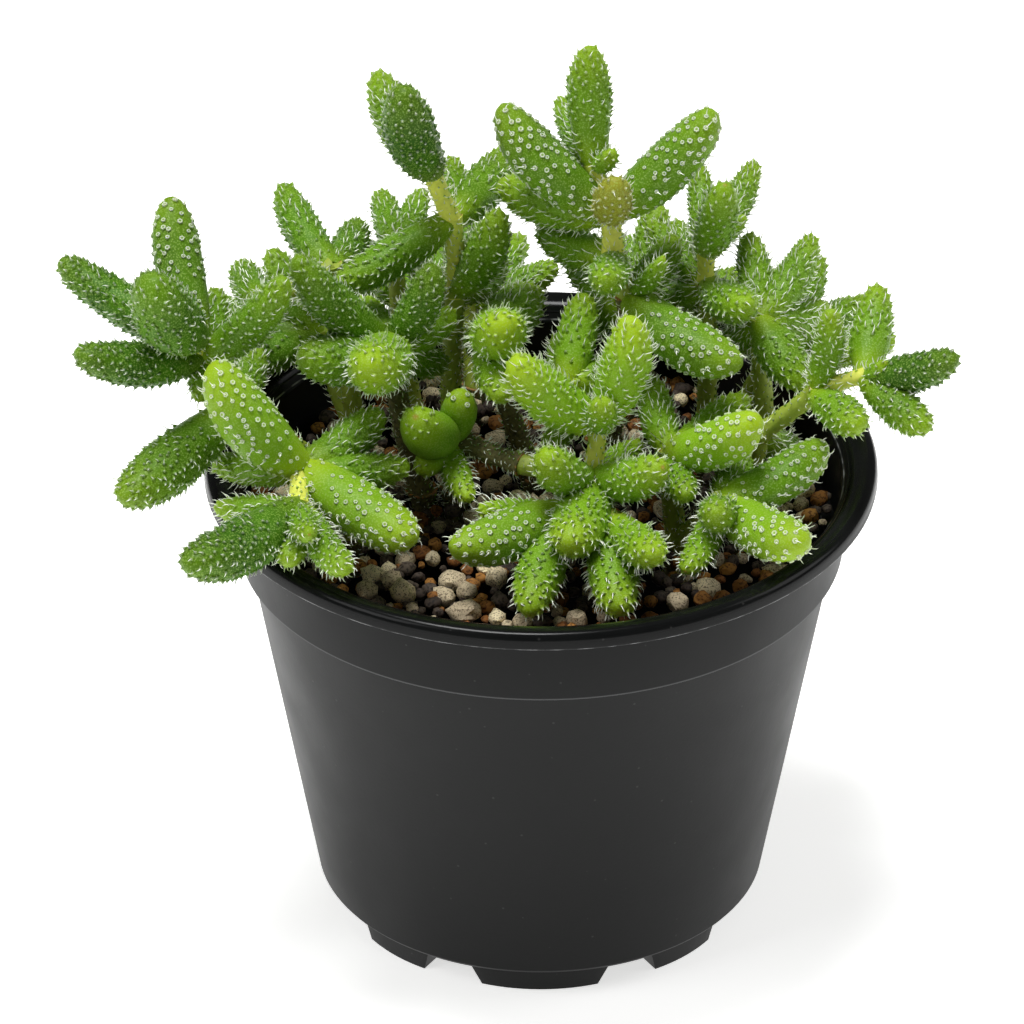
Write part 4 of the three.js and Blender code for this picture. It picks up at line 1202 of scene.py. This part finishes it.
class PLANT_OT_soil(bpy.types.Operator):
    """Models the soil: a spun body with a rough top, and loose stones strewn on it."""

    bl_idname = "plant.soil"
    bl_label = "Gritty Soil"

    def execute(self, context):
        settings = context.scene.plant_soil
        chance = np.random.default_rng(5)
        local, triangles = soil_body()
        # The soil's body is near-black: partly peat, partly painted shade standing for the stones below the
        # top ones
        parts = [(local, triangles, PEAT, np.full((len(local), 1), 0.5))]
        forms = [model_grain(seed, flatness) for seed, flatness in STONE_FORMS]
        for x, y, size, kind in strew_grains(settings.grain_count, chance):
            form, sides = forms[chance.integers(0, len(forms))]
            stone = turned_by(chance, form * size, STONE_LEAN)
            height = STONE_LEVEL + chance.uniform(-0.4, 0.7) + STONE_RISE * size
            stone = stone + (x, y, height)
            parts.append((stone, sides, kind, np.full((len(stone), 1), chance.random())))
        materials = [
            dry_stone("dark peat", settings.peat, linear("#080605"), 0.6, 0.45, 0.95),
            dry_stone("crushed pumice", settings.pumice, linear("#4a3c2c"), 0.24, 0.4, 0.85),
            dry_stone("brown lava grit", settings.lava, linear("#3a2010"), 0.45, 0.4, 0.75),
            dry_stone("dark lava grit", settings.grit, linear("#171210"), 0.4, 0.42, 0.7),
        ]
        piece = piece_from("gritty_soil", parts, "grain_shade", materials)
        finish_piece(piece, "gritty_soil", "soil")
        return {"FINISHED"}


class PLANT_OT_shoots(bpy.types.Operator):
    """Models every leafy shoot: stems, plump leaves, papillae and bristles."""

    bl_idname = "plant.shoots"
    bl_label = "Leafy Shoots"

    def execute(self, context):
        settings = context.scene.plant_shoots
        width, bristle, gap = [
            size / MM for size in (settings.papilla_width, settings.bristle_length, settings.papilla_gap)
        ]
        models = {
            "leaf": model_leaf(),
            "stem": model_stem(),
            "papilla": model_papilla(width * POINTED_FOOT, POINTED_SIDES, PAPILLA_POINT, 0),
            "ringed papilla": model_papilla(width, RINGED_SIDES, PAPILLA_RIM, RINGED_TOP),
            "bristles": [model_bristle(bristle * share, curl) for share, curl in BRISTLE_KINDS],
        }
        materials = [
            leaf_skin(settings),
            glassy_bristle(settings),
            stem_skin(
                "young stem", settings.leaf_green, settings.stem_yellow, settings.scar,
                scar_reach=0.55, mottling=0.15, flake_size=0.8, roughness=0.5,
            ),
            stem_skin(
                "old woody stem", settings.bark, settings.leaf_green, settings.scar,
                scar_reach=0.45, mottling=0.5, flake_size=0.5, roughness=0.85,
            ),
        ]
        leaves = settle_leaves()
        for number, shoot in enumerate(SHOOTS):
            chance = np.random.default_rng(100 + number)
            own = [leaf for leaf in leaves if leaf["shoot"] == number]
            parts = stem_parts(shoot, models, chance)
            parts += leaf_parts(shoot, own, models, gap, chance)
            name = shoot["name"].replace("shoot", "leafy_shoot")
            piece = piece_from(name, parts, "leaf_shades", materials)
            finish_piece(piece, "leaf", shoot["name"])
        return {"FINISHED"}


def aim_at(item, target):
    """Turns a light or the camera so that it looks at a place."""
    item.rotation_euler = (item.location - Vector(target)).to_track_quat("Z", "Y").to_euler()


class PLANT_OT_stage(bpy.types.Operator):
    """Sets the plain floor, the soft light and the camera."""

    bl_idname = "plant.stage"
    bl_label = "Stage"

    def execute(self, context):
        settings = context.scene.plant_stage
        start_clean()
        bpy.ops.mesh.primitive_plane_add(size=settings.floor_size)
        floor = context.object
        floor.name = "pale_floor"
        # A light table: white, matt and lit from below, so that shadows on it stay pale
        material, tree = fresh_material("white acrylic of a light table")
        close_material(tree, {
            "Base Color": settings.floor, "Roughness": 0.9, "Specular IOR Level": 0.1,
            "Emission Color": settings.floor, "Emission Strength": settings.floor_glow,
        })
        floor.data.materials.append(material)
        world = bpy.data.worlds.new("white surround")
        world.use_nodes = True
        background = world.node_tree.nodes["Background"]
        background.inputs["Strength"].default_value = settings.sky
        background.inputs["Color"].default_value = (1, 1, 1, 1)
        context.scene.world = world
        for name, power, (place, size) in (
            ("top", settings.top_power, TOP_LIGHT),
            ("key", settings.key_power, KEY_LIGHT),
            ("rim", settings.rim_power, RIM_LIGHT),
        ):
            bpy.ops.object.light_add(type="AREA", location=place)
            light = context.object
            light.name = name
            light.data.energy = power
            light.data.size = size
            aim_at(light, POT_HIGH / 2)
        bpy.ops.object.camera_add(location=AXIS + np.array(CAMERA_PLACE) * MM)
        camera = context.object
        camera.data.lens = CAMERA_LENS
        aim_at(camera, AXIS + np.array(CAMERA_AIM) * MM)
        context.scene.camera = camera
        context.scene.view_settings.view_transform = "Standard"
        return {"FINISHED"}


class PLANT_PT_panel(bpy.types.Panel):
    """Lists the pieces of the plant and their settings."""

    bl_idname = "PLANT_PT_panel"
    bl_label = "Potted Pickle Plant"
    bl_space_type = "VIEW_3D"
    bl_region_type = "UI"
    bl_category = "Pickle Plant"

    def draw(self, context):
        layout = self.layout
        for operator, group in zip(OPERATORS, SETTINGS):
            settings = getattr(context.scene, group)
            box = layout.box()
            box.operator(operator.bl_idname)
            for name in settings.__annotations__:
                box.prop(settings, name)


SETTINGS = {
    "plant_pot": PotSettings, "plant_soil": SoilSettings, "plant_shoots": PlantSettings,
    "plant_stage": StageSettings,
}
OPERATORS = (PLANT_OT_pot, PLANT_OT_soil, PLANT_OT_shoots, PLANT_OT_stage)


def register():
    for name, group in SETTINGS.items():
        bpy.utils.register_class(group)
        setattr(bpy.types.Scene, name, bpy.props.PointerProperty(type=group))
    for operator in OPERATORS:
        bpy.utils.register_class(operator)
    bpy.utils.register_class(PLANT_PT_panel)


def unregister():
    bpy.utils.unregister_class(PLANT_PT_panel)
    for operator in reversed(OPERATORS):
        bpy.utils.unregister_class(operator)
    for name, group in reversed(SETTINGS.items()):
        delattr(bpy.types.Scene, name)
        bpy.utils.unregister_class(group)


def main():
    register()
    bpy.ops.plant.stage()
    bpy.ops.plant.pot()
    bpy.ops.plant.soil()
    bpy.ops.plant.shoots()


if __name__ == "__main__":
    main()
